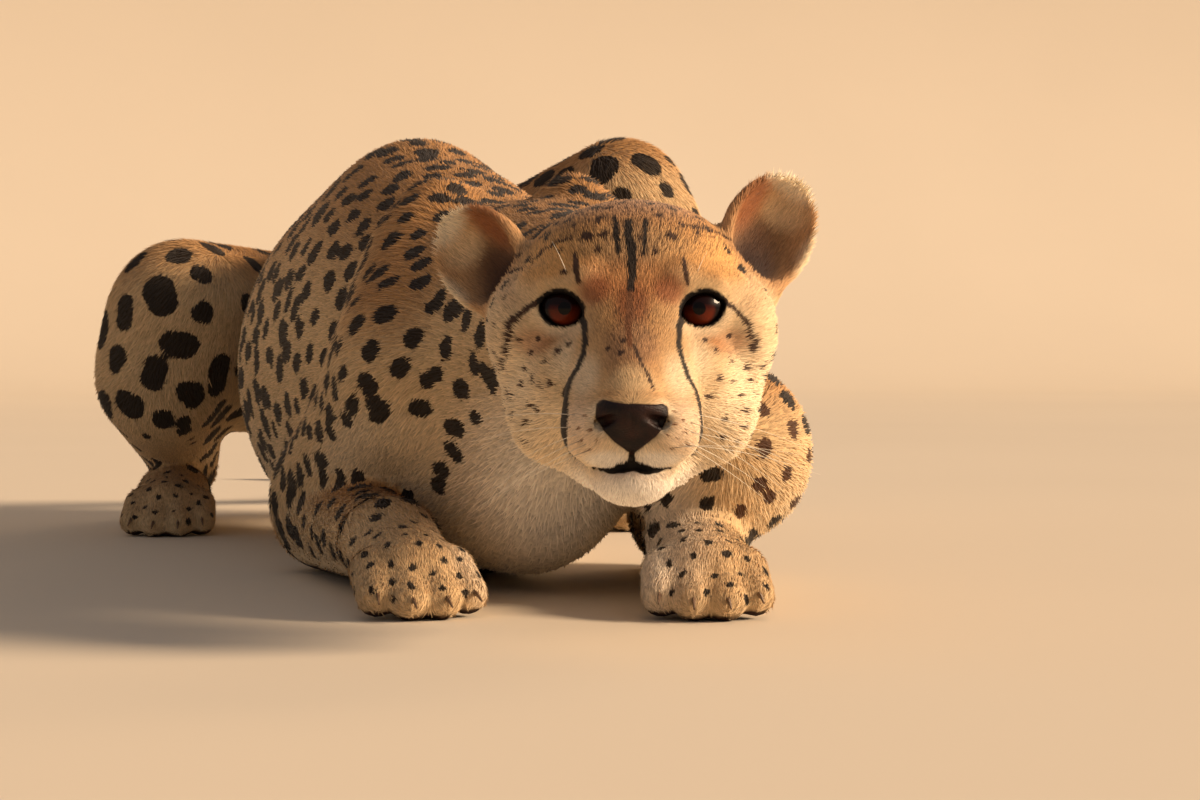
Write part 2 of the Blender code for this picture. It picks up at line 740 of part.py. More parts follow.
ANIMAL = animal()
main()
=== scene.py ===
"""A cheetah that lies crouched and looks ahead: its skin, coat, eyes, claws and whiskers."""

from functools import partial

import bmesh
import bpy
import numpy as np
from bpy.props import FloatProperty, FloatVectorProperty, IntProperty, PointerProperty
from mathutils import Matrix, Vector
from mathutils.bvhtree import BVHTree
from mathutils.kdtree import KDTree


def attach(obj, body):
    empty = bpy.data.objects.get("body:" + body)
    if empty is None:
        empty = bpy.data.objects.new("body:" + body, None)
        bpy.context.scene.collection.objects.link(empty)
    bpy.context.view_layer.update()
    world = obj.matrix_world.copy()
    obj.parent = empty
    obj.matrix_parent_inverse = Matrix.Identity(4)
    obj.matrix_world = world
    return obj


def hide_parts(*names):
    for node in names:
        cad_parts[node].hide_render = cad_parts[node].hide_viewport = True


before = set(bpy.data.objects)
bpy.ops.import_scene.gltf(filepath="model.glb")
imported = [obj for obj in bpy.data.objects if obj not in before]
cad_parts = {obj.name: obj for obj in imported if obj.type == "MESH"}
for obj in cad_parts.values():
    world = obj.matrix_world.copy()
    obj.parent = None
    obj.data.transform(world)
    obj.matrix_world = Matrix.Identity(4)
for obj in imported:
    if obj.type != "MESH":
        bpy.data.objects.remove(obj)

bl_info = {
    "name": "Cheetah",
    "version": (1, 0, 0),
    "blender": (4, 5, 0),
    "location": "3D View > Sidebar > Cheetah",
    "description": "Skin, coat and eyes of a crouched cheetah",
    "category": "Object",
}

# ---------------------------------------------------------------- sizes of the body, in millimetres
MM = 0.001
ORIGIN = np.array((1.5, 396.0, 0.0))  # from the floor point between the shoulder blades to the row's origin
REACH = 45.0  # past this distance a mass has no say
EYES = np.array((6.0, -375.0, 179.0))  # the point between the eyes
HEAD_TURN = -13.2  # degrees
EYE_SPACING = 71.0
EYE_DEPTH = 4.0  # of the eyeballs' middles behind that point
EYE_RADIUS = 17.5
NOSE = (0, -66, -56)  # in the head's own frame, as are the ears

EARS = {
    "left": {"centre": (75, 64, 41), "turned": (24, -8, 32)},
    "right": {"centre": (-82, 68, 27), "turned": (-34, -6, -52)},
}
EAR_RADII = (28, 17, 38)
EAR_HOLLOW = (22.5, 20, 31.5)

FORELEGS = {
    "right": {
        "blade": (-40, 5, 246), "point": (-74, -80, 160), "shoulder": (-70, -92, 138),
        "elbow": (-104, 85, 58), "elbow_pad": (-102, 88, 39), "wrist": (-92, -140, 38),
        "toes": (-84, -232, 17), "shoulder_radius": 52,
    },
    "left": {
        "blade": (48, -25, 250), "point": (88, -135, 150), "shoulder": (112, -158, 92),
        "elbow": (142, 40, 60), "elbow_pad": (142, 42, 39), "wrist": (92, -180, 38),
        "toes": (76, -272, 17), "shoulder_radius": 62,
    },
}
HINDLEGS = {
    "right": {
        "hip": (-66, 600, 158), "rear": (-120, 560, 150), "knee": (-184, 428, 186),
        "kneecap": (-190, 445, 160), "shank": (-202, 436, 128), "hock": (-176, 600, 66),
        "heel": (-170, 635, 46), "ball": (-188, 500, 30), "toes": (-198, 425, 16),
    },
    "left": {
        "hip": (75, 595, 186), "rear": (120, 560, 190), "knee": (188, 440, 276),
        "kneecap": (196, 450, 240), "shank": (204, 432, 240), "hock": (178, 575, 92),
        "heel": (176, 590, 70), "ball": (188, 470, 34), "toes": (190, 395, 16),
    },
}
LEGS = (*FORELEGS.values(), *HINDLEGS.values())
PAW_WIDTH = 33
PAW_HEIGHT = 26
TOE_SPREAD = (-0.78, -0.27, 0.27, 0.78)
TAIL = (
    (4, 650, 215), (8, 715, 165), (18, 765, 95), (42, 825, 40), (78, 905, 26), (100, 1000, 23),
    (92, 1095, 21), (52, 1175, 20), (-15, 1225, 20),
)
TAIL_SHARES = (0, 0.12, 0.3, 0.6, 0.92, 1)
TAIL_RADII = (46, 33, 26, 23, 21, 16)


# ---------------------------------------------------------------- directions and places
def unit(v):
    """A direction as one unit long."""
    v = np.asarray(v, float)
    return v / np.linalg.norm(v)


def lengths(v):
    """The length of each row."""
    return np.linalg.norm(v, axis=-1)


def units(v):
    """Rows of directions, each one unit long."""
    return v / (np.linalg.norm(v, axis=-1, keepdims=True) + 1e-9)


def turn(yaw=0.0, pitch=0.0, roll=0.0):
    """Rotation matrix: yaw about Z, then pitch about X, then roll about Y, in degrees."""
    y, p, r = np.radians((yaw, pitch, roll))
    about_z = np.array([[np.cos(y), -np.sin(y), 0], [np.sin(y), np.cos(y), 0], [0, 0, 1]])
    about_x = np.array([[1, 0, 0], [0, np.cos(p), -np.sin(p)], [0, np.sin(p), np.cos(p)]])
    about_y = np.array([[np.cos(r), 0, np.sin(r)], [0, 1, 0], [-np.sin(r), 0, np.cos(r)]])
    return about_z @ about_x @ about_y


HEAD = turn(HEAD_TURN)


def at_head(p):
    """Places given in the head's own frame (X to its left, -Y to its nose, Z up)."""
    return EYES + np.array(p, float) @ HEAD.T


def in_head(p):
    """Places as the head's own frame has them."""
    return (p - EYES) @ HEAD


HEAD_MIDDLE = at_head((0, 40, 0))
FACE_MIDDLE = at_head((0, 20, -10))


def smooth(a, b, x):
    """0 below a, 1 above b, and a smooth rise between."""
    t = np.clip((x - a) / (b - a), 0, 1)
    return t * t * (3 - 2 * t)


def smooth_path(points, steps):
    """A smooth curve through the points, with this many steps between two of them."""
    p = np.array(points, float)
    ends = np.vstack([2 * p[0] - p[1], p, 2 * p[-1] - p[-2]])
    out = []
    for a, b, c, d in zip(ends, ends[1:], ends[2:], ends[3:]):
        for t in np.linspace(0, 1, steps, endpoint=False):
            cubic = (3 * b - a - 3 * c + d) * t**3
            out.append(0.5 * (2 * b + (c - a) * t + (2 * a - 5 * b + 4 * c - d) * t**2 + cubic))
    return np.array(out + [p[-1]])


# ---------------------------------------------------------------- masses of flesh
def melt(a, b, k):
    """Union of two distances, rounded over the width k."""
    h = np.clip(0.5 + 0.5 * (b - a) / k, 0, 1)
    return b + (a - b) * h - k * h * (1 - h)


class Mass:
    """A lump of flesh, or the hollow it leaves if cut is set. Its coat lies along lie."""

    def __init__(self, low, high, blend, cut=False, lie=None):
        self.low, self.high, self.blend, self.cut = low - REACH, high + REACH, blend, cut
        self.lie = None if lie is None else unit(lie)


class Egg(Mass):
    """A rounded lump with its own radius along each of its axes."""

    def __init__(self, centre, radii, axes=np.eye(3), blend=20, cut=False, lie=(0, 1, -0.12)):
        self.centre, self.radii, self.axes = np.array(centre, float), np.array(radii, float), axes
        size = np.abs(axes) @ self.radii
        super().__init__(self.centre - size, self.centre + size, blend, cut, lie)

    def distance(self, p):
        q = (p - self.centre) @ self.axes
        inner = np.sqrt(((q / self.radii) ** 2).sum(-1)) + 1e-9
        slope = np.sqrt(((q / self.radii**2) ** 2).sum(-1)) + 1e-9
        return inner * (inner - 1) / slope


class Limb(Mass):
    """A tapering length between two points, wider across one direction by the share given."""

    def __init__(self, start, end, r0, r1, blend=20, share=1.0, across=(1, 0, 0), cut=False, lie=0):
        self.start, self.end = np.array(start, float), np.array(end, float)
        self.r0, self.r1, self.share, self.across = r0, r1, share, unit(across)
        size = max(r0, r1) * max(1, share)
        along = self.end - self.start if isinstance(lie, int) else lie
        low, high = np.minimum(self.start, self.end), np.maximum(self.start, self.end)
        super().__init__(low - size, high + size, blend, cut, along)

    def distance(self, p):
        run = self.end - self.start
        t = np.clip((p - self.start) @ run / (run @ run), 0, 1)
        q = p - self.start - t[..., None] * run
        size = np.sqrt((q**2).sum(-1)) + 1e-9
        wide = (q @ self.across) * (1 / self.share - 1)
        even = np.sqrt(((q + wide[..., None] * self.across) ** 2).sum(-1)) + 1e-9
        return size * (1 - (self.r0 + (self.r1 - self.r0) * t) / even)


class Chain(Mass):
    """A length along a path, with its radius at each point."""

    def __init__(self, path, radii, blend=30, cut=False, lie=None):
        self.path, self.radii = np.array(path, float), np.array(radii, float)
        most = self.radii.max()
        super().__init__(self.path.min(0) - most, self.path.max(0) + most, blend, cut, lie)

    def distance(self, p):
        best = np.full(p.shape[:-1], 1e4)
        for a, b, r0, r1 in zip(self.path, self.path[1:], self.radii, self.radii[1:]):
            run = b - a
            t = np.clip((p - a) @ run / (run @ run), 0, 1)
            off = np.sqrt(((p - a - t[..., None] * run) ** 2).sum(-1))
            best = np.minimum(best, off - (r0 + (r1 - r0) * t))
        return best


class EyeOpening(Mass):
    """The almond between the lids: where two circles seen along the gaze overlap."""

    def __init__(self, side):
        self.side = side
        centre = at_head((side * LID_CENTRE[0], 0, LID_CENTRE[1]))
        super().__init__(centre - 40, centre + 40, 1.5, True)

    def distance(self, p):
        q = in_head(p)
        return np.maximum(lid_distance(q, self.side)[0], q[..., 1] - EYE_DEPTH + 4)


# The same masses with their places in the head's own frame
def head_egg(centre, radii, axes=np.eye(3), **how):
    return Egg(at_head(centre), radii, HEAD @ axes, lie=None, **how)


def head_limb(start, end, r0, r1, across=(1, 0, 0), **how):
    return Limb(at_head(start), at_head(end), r0, r1, across=HEAD @ unit(across), lie=None, **how)


def head_chain(path, radii, **how):
    return Chain(at_head(path), radii, **how)


# ---------------------------------------------------------------- the animal, as in the solids
def trunk():
    """Chest, breast, ribs, belly, loins, rump and the ridge of the back."""
    return [
        Egg((-4, 60, 132), (100, 190, 136), blend=30),
        Egg((8, -75, 108), (76, 95, 100), blend=40),
        Egg((-26, 170, 148), (112, 175, 154), blend=50),
        Egg((-30, 290, 138), (121, 170, 143), blend=50),
        Egg((-16, 430, 154), (93, 140, 112), blend=45),
        Egg((2, 575, 162), (100, 118, 108), turn(roll=-12), blend=45),
        Limb((-26, 180, 262), (2, 560, 232), 36, 40, blend=50),
    ]


def neck():
    """Throat and nape."""
    back = (-0.05, 1, 0.05)
    return [
        Limb((12, -90, 152), (30, -265, 164), 90, 60, blend=40, lie=back),
        Limb((12, -60, 185), (28, -255, 182), 54, 44, blend=40, lie=back),
    ]


def foreleg(leg):
    """Edge and flat of the shoulder blade, upper arm and forearm."""
    blade, point, shoulder = (np.array(leg[k], float) for k in ("blade", "point", "shoulder"))
    low = blade + (point - blade) * 0.25 + (0, 5, -18)
    down = (0, 0.7, -0.7)
    return [
        Limb(blade, point, 27, 44, blend=26, lie=down),
        Limb(low, point + (0, 45, -15), 40, 47, blend=26, lie=down),
        Limb(shoulder, leg["elbow"], leg["shoulder_radius"], 43, blend=15),
        Limb(leg["elbow_pad"], leg["wrist"], 43, 30, blend=12),
    ]


def hindleg(leg):
    """Front and back of the thigh, shank and hind foot."""
    down = (np.sign(leg["hip"][0]) * 0.45, 0.35, -0.8)
    return [
        Limb(leg["hip"], leg["knee"], 80, 61, blend=22, lie=down),
        Limb(leg["rear"], leg["kneecap"], 73, 61, blend=22, lie=down),
        Limb(leg["shank"], leg["hock"], 56, 37, blend=20),
        Limb(leg["heel"], leg["ball"], 31, 24, blend=12),
    ]


def toes(leg, start):
    """(base of the toes, direction across them, (knuckle, tip) of each toe)."""
    end = np.array(leg["toes"], float)
    ahead = unit(end - leg[start])
    side = unit(np.cross(ahead, (0, 0, 1)))
    base = end - ahead * PAW_HEIGHT * 1.1
    found = []
    for share in TOE_SPREAD:
        lead = 6 if abs(share) < 0.5 else -4
        knuckle = base + side * share * PAW_WIDTH * 0.9 + ahead * lead + (0, 0, 2)
        tip = base + side * share * PAW_WIDTH * 1.05 + ahead * (lead + PAW_HEIGHT) - (0, 0, 5)
        found.append((knuckle, tip))
    return base, side, found


def paw(leg, start):
    """The flat of the paw and its toes."""
    base, side, digits = toes(leg, start)
    height = PAW_HEIGHT
    masses = [
        Limb(leg[start], base, height * 1.12, height * 0.95, blend=10,
             share=PAW_WIDTH / height * 0.95, across=side)
    ]
    for knuckle, tip in digits:
        masses.append(Limb(knuckle, tip, height * 0.62, height * 0.52, blend=5))
    return masses


def tail():
    path = smooth_path(TAIL, 4)
    return [Chain(path, np.interp(np.linspace(0, 1, len(path)), TAIL_SHARES, TAIL_RADII))]


def eye_places():
    """Middles of the right and left eyeballs in the head's own frame."""
    return [(s * EYE_SPACING / 2, EYE_DEPTH, 0) for s in (-1, 1)]


def head():
    # Braincase, forehead and throat
    masses = [
        head_egg((0, 62, 2), (69, 66, 61), blend=16),
        head_egg((0, 24, 15), (54, 44, 42), blend=16),
        head_egg((0, 40, -44), (58, 60, 46), blend=16),
    ]
    # Temples, cheeks, cheekbones, brows and the sides of the muzzle
    for s in (-1, 1):
        masses += [
            head_egg((s * 57, 36, -12), (24, 44, 32), blend=14),
            head_egg((s * 44, 34, -48), (27, 42, 38), blend=14),
            head_egg((s * 33, -2, -36), (22, 28, 27), blend=12),
            head_limb((s * 24, -12, 15), (s * 52, 8, 13), 9, 8, blend=10),
            head_limb((s * 13, -13, -4), (s * 19, -41, -46), 15, 15, blend=12),
        ]
    # Bridge of the nose, muzzle, chin, jaw, whisker pads and the tip of the nose
    masses += [
        head_limb((0, -4, 4), (0, -60, -42), 18, 12, blend=12, share=1.25),
        head_egg((0, -34, -57), (33, 36, 25), blend=12),
        head_egg((0, -41, -87), (19, 20, 12), blend=7),
        head_limb((0, -34, -84), (0, 30, -72), 17, 34, blend=14, share=1.2),
    ]
    masses += [head_egg((s * 18, -50, -63), (18, 21, 17), blend=11) for s in (-1, 1)]
    masses += [head_egg((0, -68, -52), (17, 9, 11), blend=4)]
    return masses


def ear(place):
    """Root, cup and hollow."""
    axes = turn(*place["turned"])
    centre = np.array(place["centre"], float)
    return [
        head_egg(centre - axes @ (0, -4, 30), (24, 20, 18), axes, blend=10),
        head_egg(centre, EAR_RADII, axes, blend=7),
        head_egg(centre + axes @ (0, -10, 3), EAR_HOLLOW, axes, blend=4, cut=True),
    ]


# ---------------------------------------------------------------- what the skin adds to the head
LID_CENTRE = (37.2, -0.6)  # across and up
LID_CIRCLE = 12.5  # radius of the two circles that bound the eye's opening
LID_OFFSET = 4.0  # of their middles up and down
LID_TILT = 17.0  # degrees, outer corner up
LID_RADIUS = 19.6  # of the lids round the eyeball
# The line of the mouth from its middle to its left corner: (x, z, radius)
MOUTH_LINE = (
    (0, -80.0, 2.6), (4, -81.2, 2.5), (8, -82.6, 2.0), (13, -83.0, 1.1), (19, -82.0, 0.7),
    (25, -80.4, 0.5), (30, -78.8, 0.4), (33, -77.0, 0.3),
)
SPLIT_LINE = ((0, -72, 0.8), (0, -75.5, 0.9), (0, -80, 1.6))


def on_front(x, z):
    """The first place of the face met from ahead, in the head's frame."""
    depths = np.arange(-100, 40, 0.25)
    line = np.stack([np.full(depths.shape, x), depths, np.full(depths.shape, z)], -1)
    inside = flesh_distance(at_head(line)) < 0
    return (x, depths[inside.argmax()], z)


def face_groove(line, side=1):
    """A chain along the front of the face from (x, z, radius) points."""
    places = [np.add(on_front(side * x, z), (0, 0.4, 0)) for x, z, _ in line]
    return places, [r for _, _, r in line]


def face_details():
    """Lids, tear ducts, nostrils, the split lip and the line of the mouth."""
    masses = []
    for s, eye in zip((-1, 1), eye_places()):
        masses.append(head_egg(eye, (LID_RADIUS,) * 3, blend=9))
        masses.append(head_limb((s * 23, -14, 10), (s * 44, -9, 13), 3, 3, blend=6))
        masses.append(EyeOpening(s))
        masses.append(head_limb((s * 27, -17, -6), (s * 24, -23, -13), 1.6, 0.8, blend=2, cut=True))
        masses.append(head_limb((s * 8, -77, -55.5), (s * 15.5, -69, -58), 2.6, 3.6, blend=2, cut=True))
        masses.append(head_limb((s * 16, -71, -59), (s * 20, -62, -57), 2.0, 1.2, blend=2, cut=True))
    masses.append(head_limb((0, -78, -54), (0, -70, -68), 1.0, 1.2, blend=2, cut=True))
    masses += [head_chain(*line, blend=2.0, cut=True) for line in LIPS]
    return masses


def animal():
    """Every mass of flesh, each melting into those before it."""
    masses = trunk()
    for leg in HINDLEGS.values():
        masses += hindleg(leg)
    for leg in FORELEGS.values():
        masses += foreleg(leg)
    for leg in FORELEGS.values():
        masses += paw(leg, "wrist")
    for leg in HINDLEGS.values():
        masses += paw(leg, "ball")
    masses += tail() + neck() + head()
    for place in EARS.values():
        masses += ear(place)
    return masses


FLESH = animal()
# Places where the coat is short: (place, how far that reaches, depth of the coat there)
SHORT_COAT = [(at_head(NOSE), 95, 0.6), (at_head((0, -66, -52)), 22, 0.2)]
SHORT_COAT += [(at_head((s * 36, -6, 0)), 42, 1.0) for s in (-1, 1)]
SHORT_COAT += [(at_head(place["centre"]), 66, 1.2) for place in EARS.values()]
SHORT_COAT += [(np.array(leg["toes"], float), 90, 1.6) for leg in LEGS]
BODY_COAT = 3.8  # depth of the coat on the body


def coat_depth(p):
    """How far the skin lies inside the tips of the coat."""
    head_share = smooth(190, 110, lengths(p - HEAD_MIDDLE))
    depth = BODY_COAT - 1.2 * head_share
    for place, reach, least in SHORT_COAT:
        near = smooth(reach, 0.35 * reach, lengths(p - place))
        depth = depth + (np.minimum(least, depth) - depth) * near
    return depth


def add_masses(out, masses, p):
    """Melts these masses into the distances already found."""
    for mass in masses:
        near = ((p > mass.low) & (p < mass.high)).all(-1)
        if near.any():
            d = mass.distance(p[near])
            a = out[near]
            out[near] = -melt(-a, d, mass.blend) if mass.cut else melt(a, d, mass.blend)
    return out


def flesh_distance(p):
    """Distance outside the skin before the details of the face are cut."""
    return add_masses(np.full(p.shape[:-1], REACH), FLESH, p) + coat_depth(p)


def field(p):
    """How far each point is outside the skin."""
    return np.maximum(add_masses(flesh_distance(p), DETAILS, p), FLOOR_LIFT - p[..., 2])


FLOOR_LIFT = 0.3  # of the flats of the skin off the floor
LIPS = [face_groove(MOUTH_LINE, s) for s in (-1, 1)] + [face_groove(SPLIT_LINE)]
DETAILS = face_details()


def slope(p, step=0.6):
    """Outward direction of the form at each point."""
    out = np.empty(p.shape)
    for axis in range(3):
        shift = np.eye(3)[axis] * step
        out[:, axis] = field(p + shift) - field(p - shift)
    return units(out)


# ---------------------------------------------------------------- from masses to the skin's mesh
def grid_values(axes):
    """The field on a grid, mass by mass, each within its own reach."""
    out = np.full([len(a) for a in axes], REACH)
    for masses in (FLESH, DETAILS):
        for mass in masses:
            part = tuple(slice(*np.searchsorted(a, ends)) for a, ends in zip(axes, zip(mass.low, mass.high)))
            if any(s.start >= s.stop for s in part):
                continue
            points = np.stack(np.meshgrid(*[a[s] for a, s in zip(axes, part)], indexing="ij"), -1)
            d = mass.distance(points)
            out[part] = -melt(-out[part], d, mass.blend) if mass.cut else melt(out[part], d, mass.blend)
        if masses is FLESH:
            near = np.abs(out) < 12
            index = np.argwhere(near)
            points = np.stack([a[index[:, i]] for i, a in enumerate(axes)], -1)
            out[near] += coat_depth(points)
    return np.maximum(out, FLOOR_LIFT - axes[2][None, None, :])


def part_corners(values, cell):
    """Fills grid points where two bodies would touch along an edge or at a corner only."""
    for _ in range(8):
        inside = values < 0
        new = np.zeros(values.shape, bool)
        for axis in range(3):
            i, n = np.moveaxis(inside, axis, 0), np.moveaxis(new, axis, 0)
            a, b, c, d = i[:, :-1, :-1], i[:, 1:, :-1], i[:, :-1, 1:], i[:, 1:, 1:]
            crossed = ((a & d) & ~(b | c)) | ((b & c) & ~(a | d))
            for part in (n[:, :-1, :-1], n[:, 1:, :-1], n[:, :-1, 1:], n[:, 1:, 1:]):
                part |= crossed
        new &= ~inside
        if not new.any():
            break
        values = np.where(new, -0.02 * cell, values)
    return values


def surface(values, low, cell):
    """Points and four-sided faces of the surface where the values pass zero."""
    inside = values < 0
    corners = sum(inside[i:i - 1 or None, j:j - 1 or None, k:k - 1 or None].astype(np.int8)
                  for i, j, k in np.ndindex(2, 2, 2))
    where = np.argwhere((corners > 0) & (corners < 8))
    index = np.full(corners.shape, -1)
    index[tuple(where.T)] = np.arange(len(where))
    total, count = np.zeros((len(where), 3)), np.zeros(len(where))
    for start in np.ndindex(2, 2, 2):
        for axis in range(3):
            if start[axis]:
                continue
            step = np.eye(3, dtype=int)[axis]
            a = values[tuple((where + start).T)]
            b = values[tuple((where + start + step).T)]
            cross = (a < 0) != (b < 0)
            share = np.where(cross, a / np.where(cross, a - b, 1), 0)
            total += np.where(cross[:, None], np.array(start, float) + share[:, None] * step, 0)
            count += cross
    points = low + (where + total / count[:, None]) * cell
    faces = []
    for axis in range(3):
        first = np.take(inside, range(values.shape[axis] - 1), axis)
        second = np.take(inside, range(1, values.shape[axis]), axis)
        edges = np.argwhere(first != second)
        u, v = np.eye(3, dtype=int)[[(axis + 1) % 3, (axis + 2) % 3]]
        ring = np.stack([index[tuple((edges - s).T)] for s in (0 * u, u, u + v, v)], 1)
        faces.append(np.where(first[tuple(edges.T)][:, None], ring, ring[:, ::-1]))
    return points, np.concatenate(faces)


def closed_form(low, high, cell, removed=None):
    """The skin inside a box, walled at its sides. removed is a box (x, y below, z above) left out."""
    low, high = np.array(low, float), np.array(high, float)
    axes = [np.arange(a - 2 * cell, b + 3 * cell, cell) for a, b in zip(low, high)]
    values = grid_values(axes)
    for i, axis in enumerate(axes):
        wall = np.maximum(low[i] - axis, axis - high[i]).reshape([-1 if j == i else 1 for j in range(3)])
        values = np.maximum(values, wall)
    if removed:
        y, z = axes[1][None, :, None], axes[2][None, None, :]
        values = np.maximum(values, np.minimum(removed[0] - y, z - removed[1]))
    return surface(part_corners(values, cell), np.array([a[0] for a in axes]), cell)


NECK_CUT = -240.0  # where head and body meet
PAW_TOP = 72.0  # below this nothing belongs to the head
PAW_REACH = 62.0
BODY_CELL = 6.2
HEAD_CELL = 1.85
JOINT_STRIP = 4.0  # left open between head and body, then bridged
HEAD_BOX = (-118, -470, PAW_TOP - 6), (140, NECK_CUT + 12, 262)
BODY_BOX = (-280, -330, -12), (285, 1262, 352)


def skin_mesh():
    """The head finely and the body coarsely meshed, joined round the neck, the paws made finer."""
    parts = [
        closed_form(*HEAD_BOX, HEAD_CELL),
        closed_form(*BODY_BOX, BODY_CELL, (NECK_CUT - 9, PAW_TOP)),
    ]
    skin = bmesh.new()
    for number, (points, faces) in enumerate(parts):
        piece = bmesh.new()
        verts = [piece.verts.new(p) for p in points]
        for f in faces:
            piece.faces.new([verts[i] for i in f])
        cut_y = NECK_CUT + (JOINT_STRIP if number else 0)
        geometry = piece.verts[:] + piece.edges[:] + piece.faces[:]
        bmesh.ops.bisect_plane(piece, geom=geometry, plane_co=(0, cut_y, 0), plane_no=(0, 1, 0), dist=1e-4)
        gone = []
        for f in piece.faces:
            middle = f.calc_center_median()
            ahead = middle.y < cut_y and middle.z > PAW_TOP + 2
            if ahead == bool(number):
                gone.append(f)
        bmesh.ops.delete(piece, geom=gone, context="FACES")
        drop_islands(piece)
        mesh = mesh_from(piece, "part")
        skin.from_mesh(mesh)
        bpy.data.meshes.remove(mesh)
    rim = [e for e in skin.edges if e.is_boundary]
    bmesh.ops.bridge_loops(skin, edges=rim)
    refine_paws(skin)
    bmesh.ops.recalc_face_normals(skin, faces=skin.faces)
    return skin


def mesh_from(body, name):
    """The mesh of an edited body, which is then freed."""
    mesh = bpy.data.meshes.new(name)
    body.to_mesh(mesh)
    body.free()
    return mesh


def drop_islands(body):
    """Keeps the largest connected part."""
    left, largest = set(body.verts), set()
    while left:
        island, edge = set(), [left.pop()]
        while edge:
            v = edge.pop()
            island.add(v)
            near = {e.other_vert(v) for e in v.link_edges} & left
            left -= near
            edge += near
        if len(island) > len(largest):
            largest = island
    bmesh.ops.delete(body, geom=[v for v in body.verts if v not in largest], context="VERTS")


def refine_paws(body):
    """Cuts the faces of the paws finer and draws them onto the form."""
    places = [Vector(leg["toes"]) for leg in LEGS]
    edges = set()
    for f in body.faces:
        middle = f.calc_center_median()
        if middle.z < PAW_REACH and any((middle - p).length < PAW_REACH for p in places):
            edges.update(f.edges)
    made = bmesh.ops.subdivide_edges(body, edges=list(edges), cuts=1, use_grid_fill=True)
    new = list({v for v in made["geom_inner"] if isinstance(v, bmesh.types.BMVert)})
    points = np.array([v.co for v in new])
    for _ in range(2):
        points = points - slope(points) * field(points)[:, None] * 0.9
    for v, p in zip(new, points):
        v.co = p


# ---------------------------------------------------------------- the lie and length of the coat
PARTING = (0, -78, -50)  # in the head's frame, where the hair of the face starts from


def flow(points):
    """Direction in which the hair grows at each place, before it is laid along the skin."""
    total = np.zeros(points.shape)
    q = in_head(points)
    from_nose = units(q - PARTING) @ HEAD.T
    for mass in FLESH:
        if mass.cut:
            continue
        near = ((points > mass.low) & (points < mass.high)).all(-1)
        if not near.any():
            continue
        weight = np.exp(-np.maximum(mass.distance(points[near]) + 4, 0) / 7)[:, None]
        if mass.lie is not None:
            total[near] += weight * mass.lie
        elif isinstance(mass, Chain):
            a, b = mass.path[:-1], mass.path[1:]
            away = lengths(points[near][:, None] - (a + b)[None] / 2)
            total[near] += weight * units((b - a)[away.argmin(1)])
        else:
            total[near] += weight * from_nose[near]
    for place in EARS.values():
        axes = HEAD @ turn(*place["turned"])
        centre = at_head(place["centre"])
        r = (points - centre) @ axes / (34, 26, 44)
        weight = smooth(1.15, 0.75, lengths(r))[:, None]
        outwards = units(axes @ (0, 0, 1) + (r * (0.7, 0, 0)) @ axes.T)
        total += 3 * weight * outwards
    return units(total)


HAIR = 8.6  # length on most of the body
# (place, how far it reaches, length of the hair there), each laid over those before it
HAIR_LENGTHS = [
    (HEAD_MIDDLE, 150, 6.5),
    (at_head((-58, 34, -52)), 52, 8.5),
    (at_head((58, 34, -52)), 52, 8.5),
    (at_head((0, 20, -110)), 60, 9.0),
    (at_head((0, -30, 20)), 75, 4.6),
    (at_head((0, -60, -55)), 72, 3.4),
    (at_head((-36, -6, 0)), 34, 3.0),
    (at_head((36, -6, 0)), 34, 3.0),
    (at_head(EARS["left"]["centre"]), 52, 5.5),
    (at_head(EARS["right"]["centre"]), 52, 5.5),
    (np.array((10, -60, 290.0)), 120, 8.0),
    (np.array((14, -200, 60.0)), 110, 11.0),
    (np.array((-20, 430, 20.0)), 150, 13.0),
    (np.array((-15, 1225, 20.0)), 90, 14.0),
]
HAIR_LENGTHS += [(np.array(leg["toes"], float), 110, 5.0) for leg in LEGS]


def hair_length(points):
    """Length of the hair at each place, in millimetres."""
    length = np.full(len(points), HAIR)
    for place, reach, there in HAIR_LENGTHS:
        near = smooth(reach, 0.45 * reach, lengths(points - place))
        length += (there - length) * near
    return length


# ---------------------------------------------------------------- colours of the coat
def linear(code):
    """sRGB hex value to linear RGB."""
    value = np.array([int(code[i:i + 2], 16) / 255 for i in (1, 3, 5)])
    return np.where(value <= 0.04045, value / 12.92, ((value + 0.055) / 1.055) ** 2.4)


TAWNY, SAND, CREAM, WHITE = "#B5834C", "#D6B78A", "#E9D3B0", "#F6EEE0"
RUFOUS, BROWN, GREY, UMBER, BLACK = "#A85F2C", "#7A4C2C", "#94785C", "#3B2316", "#17100C"

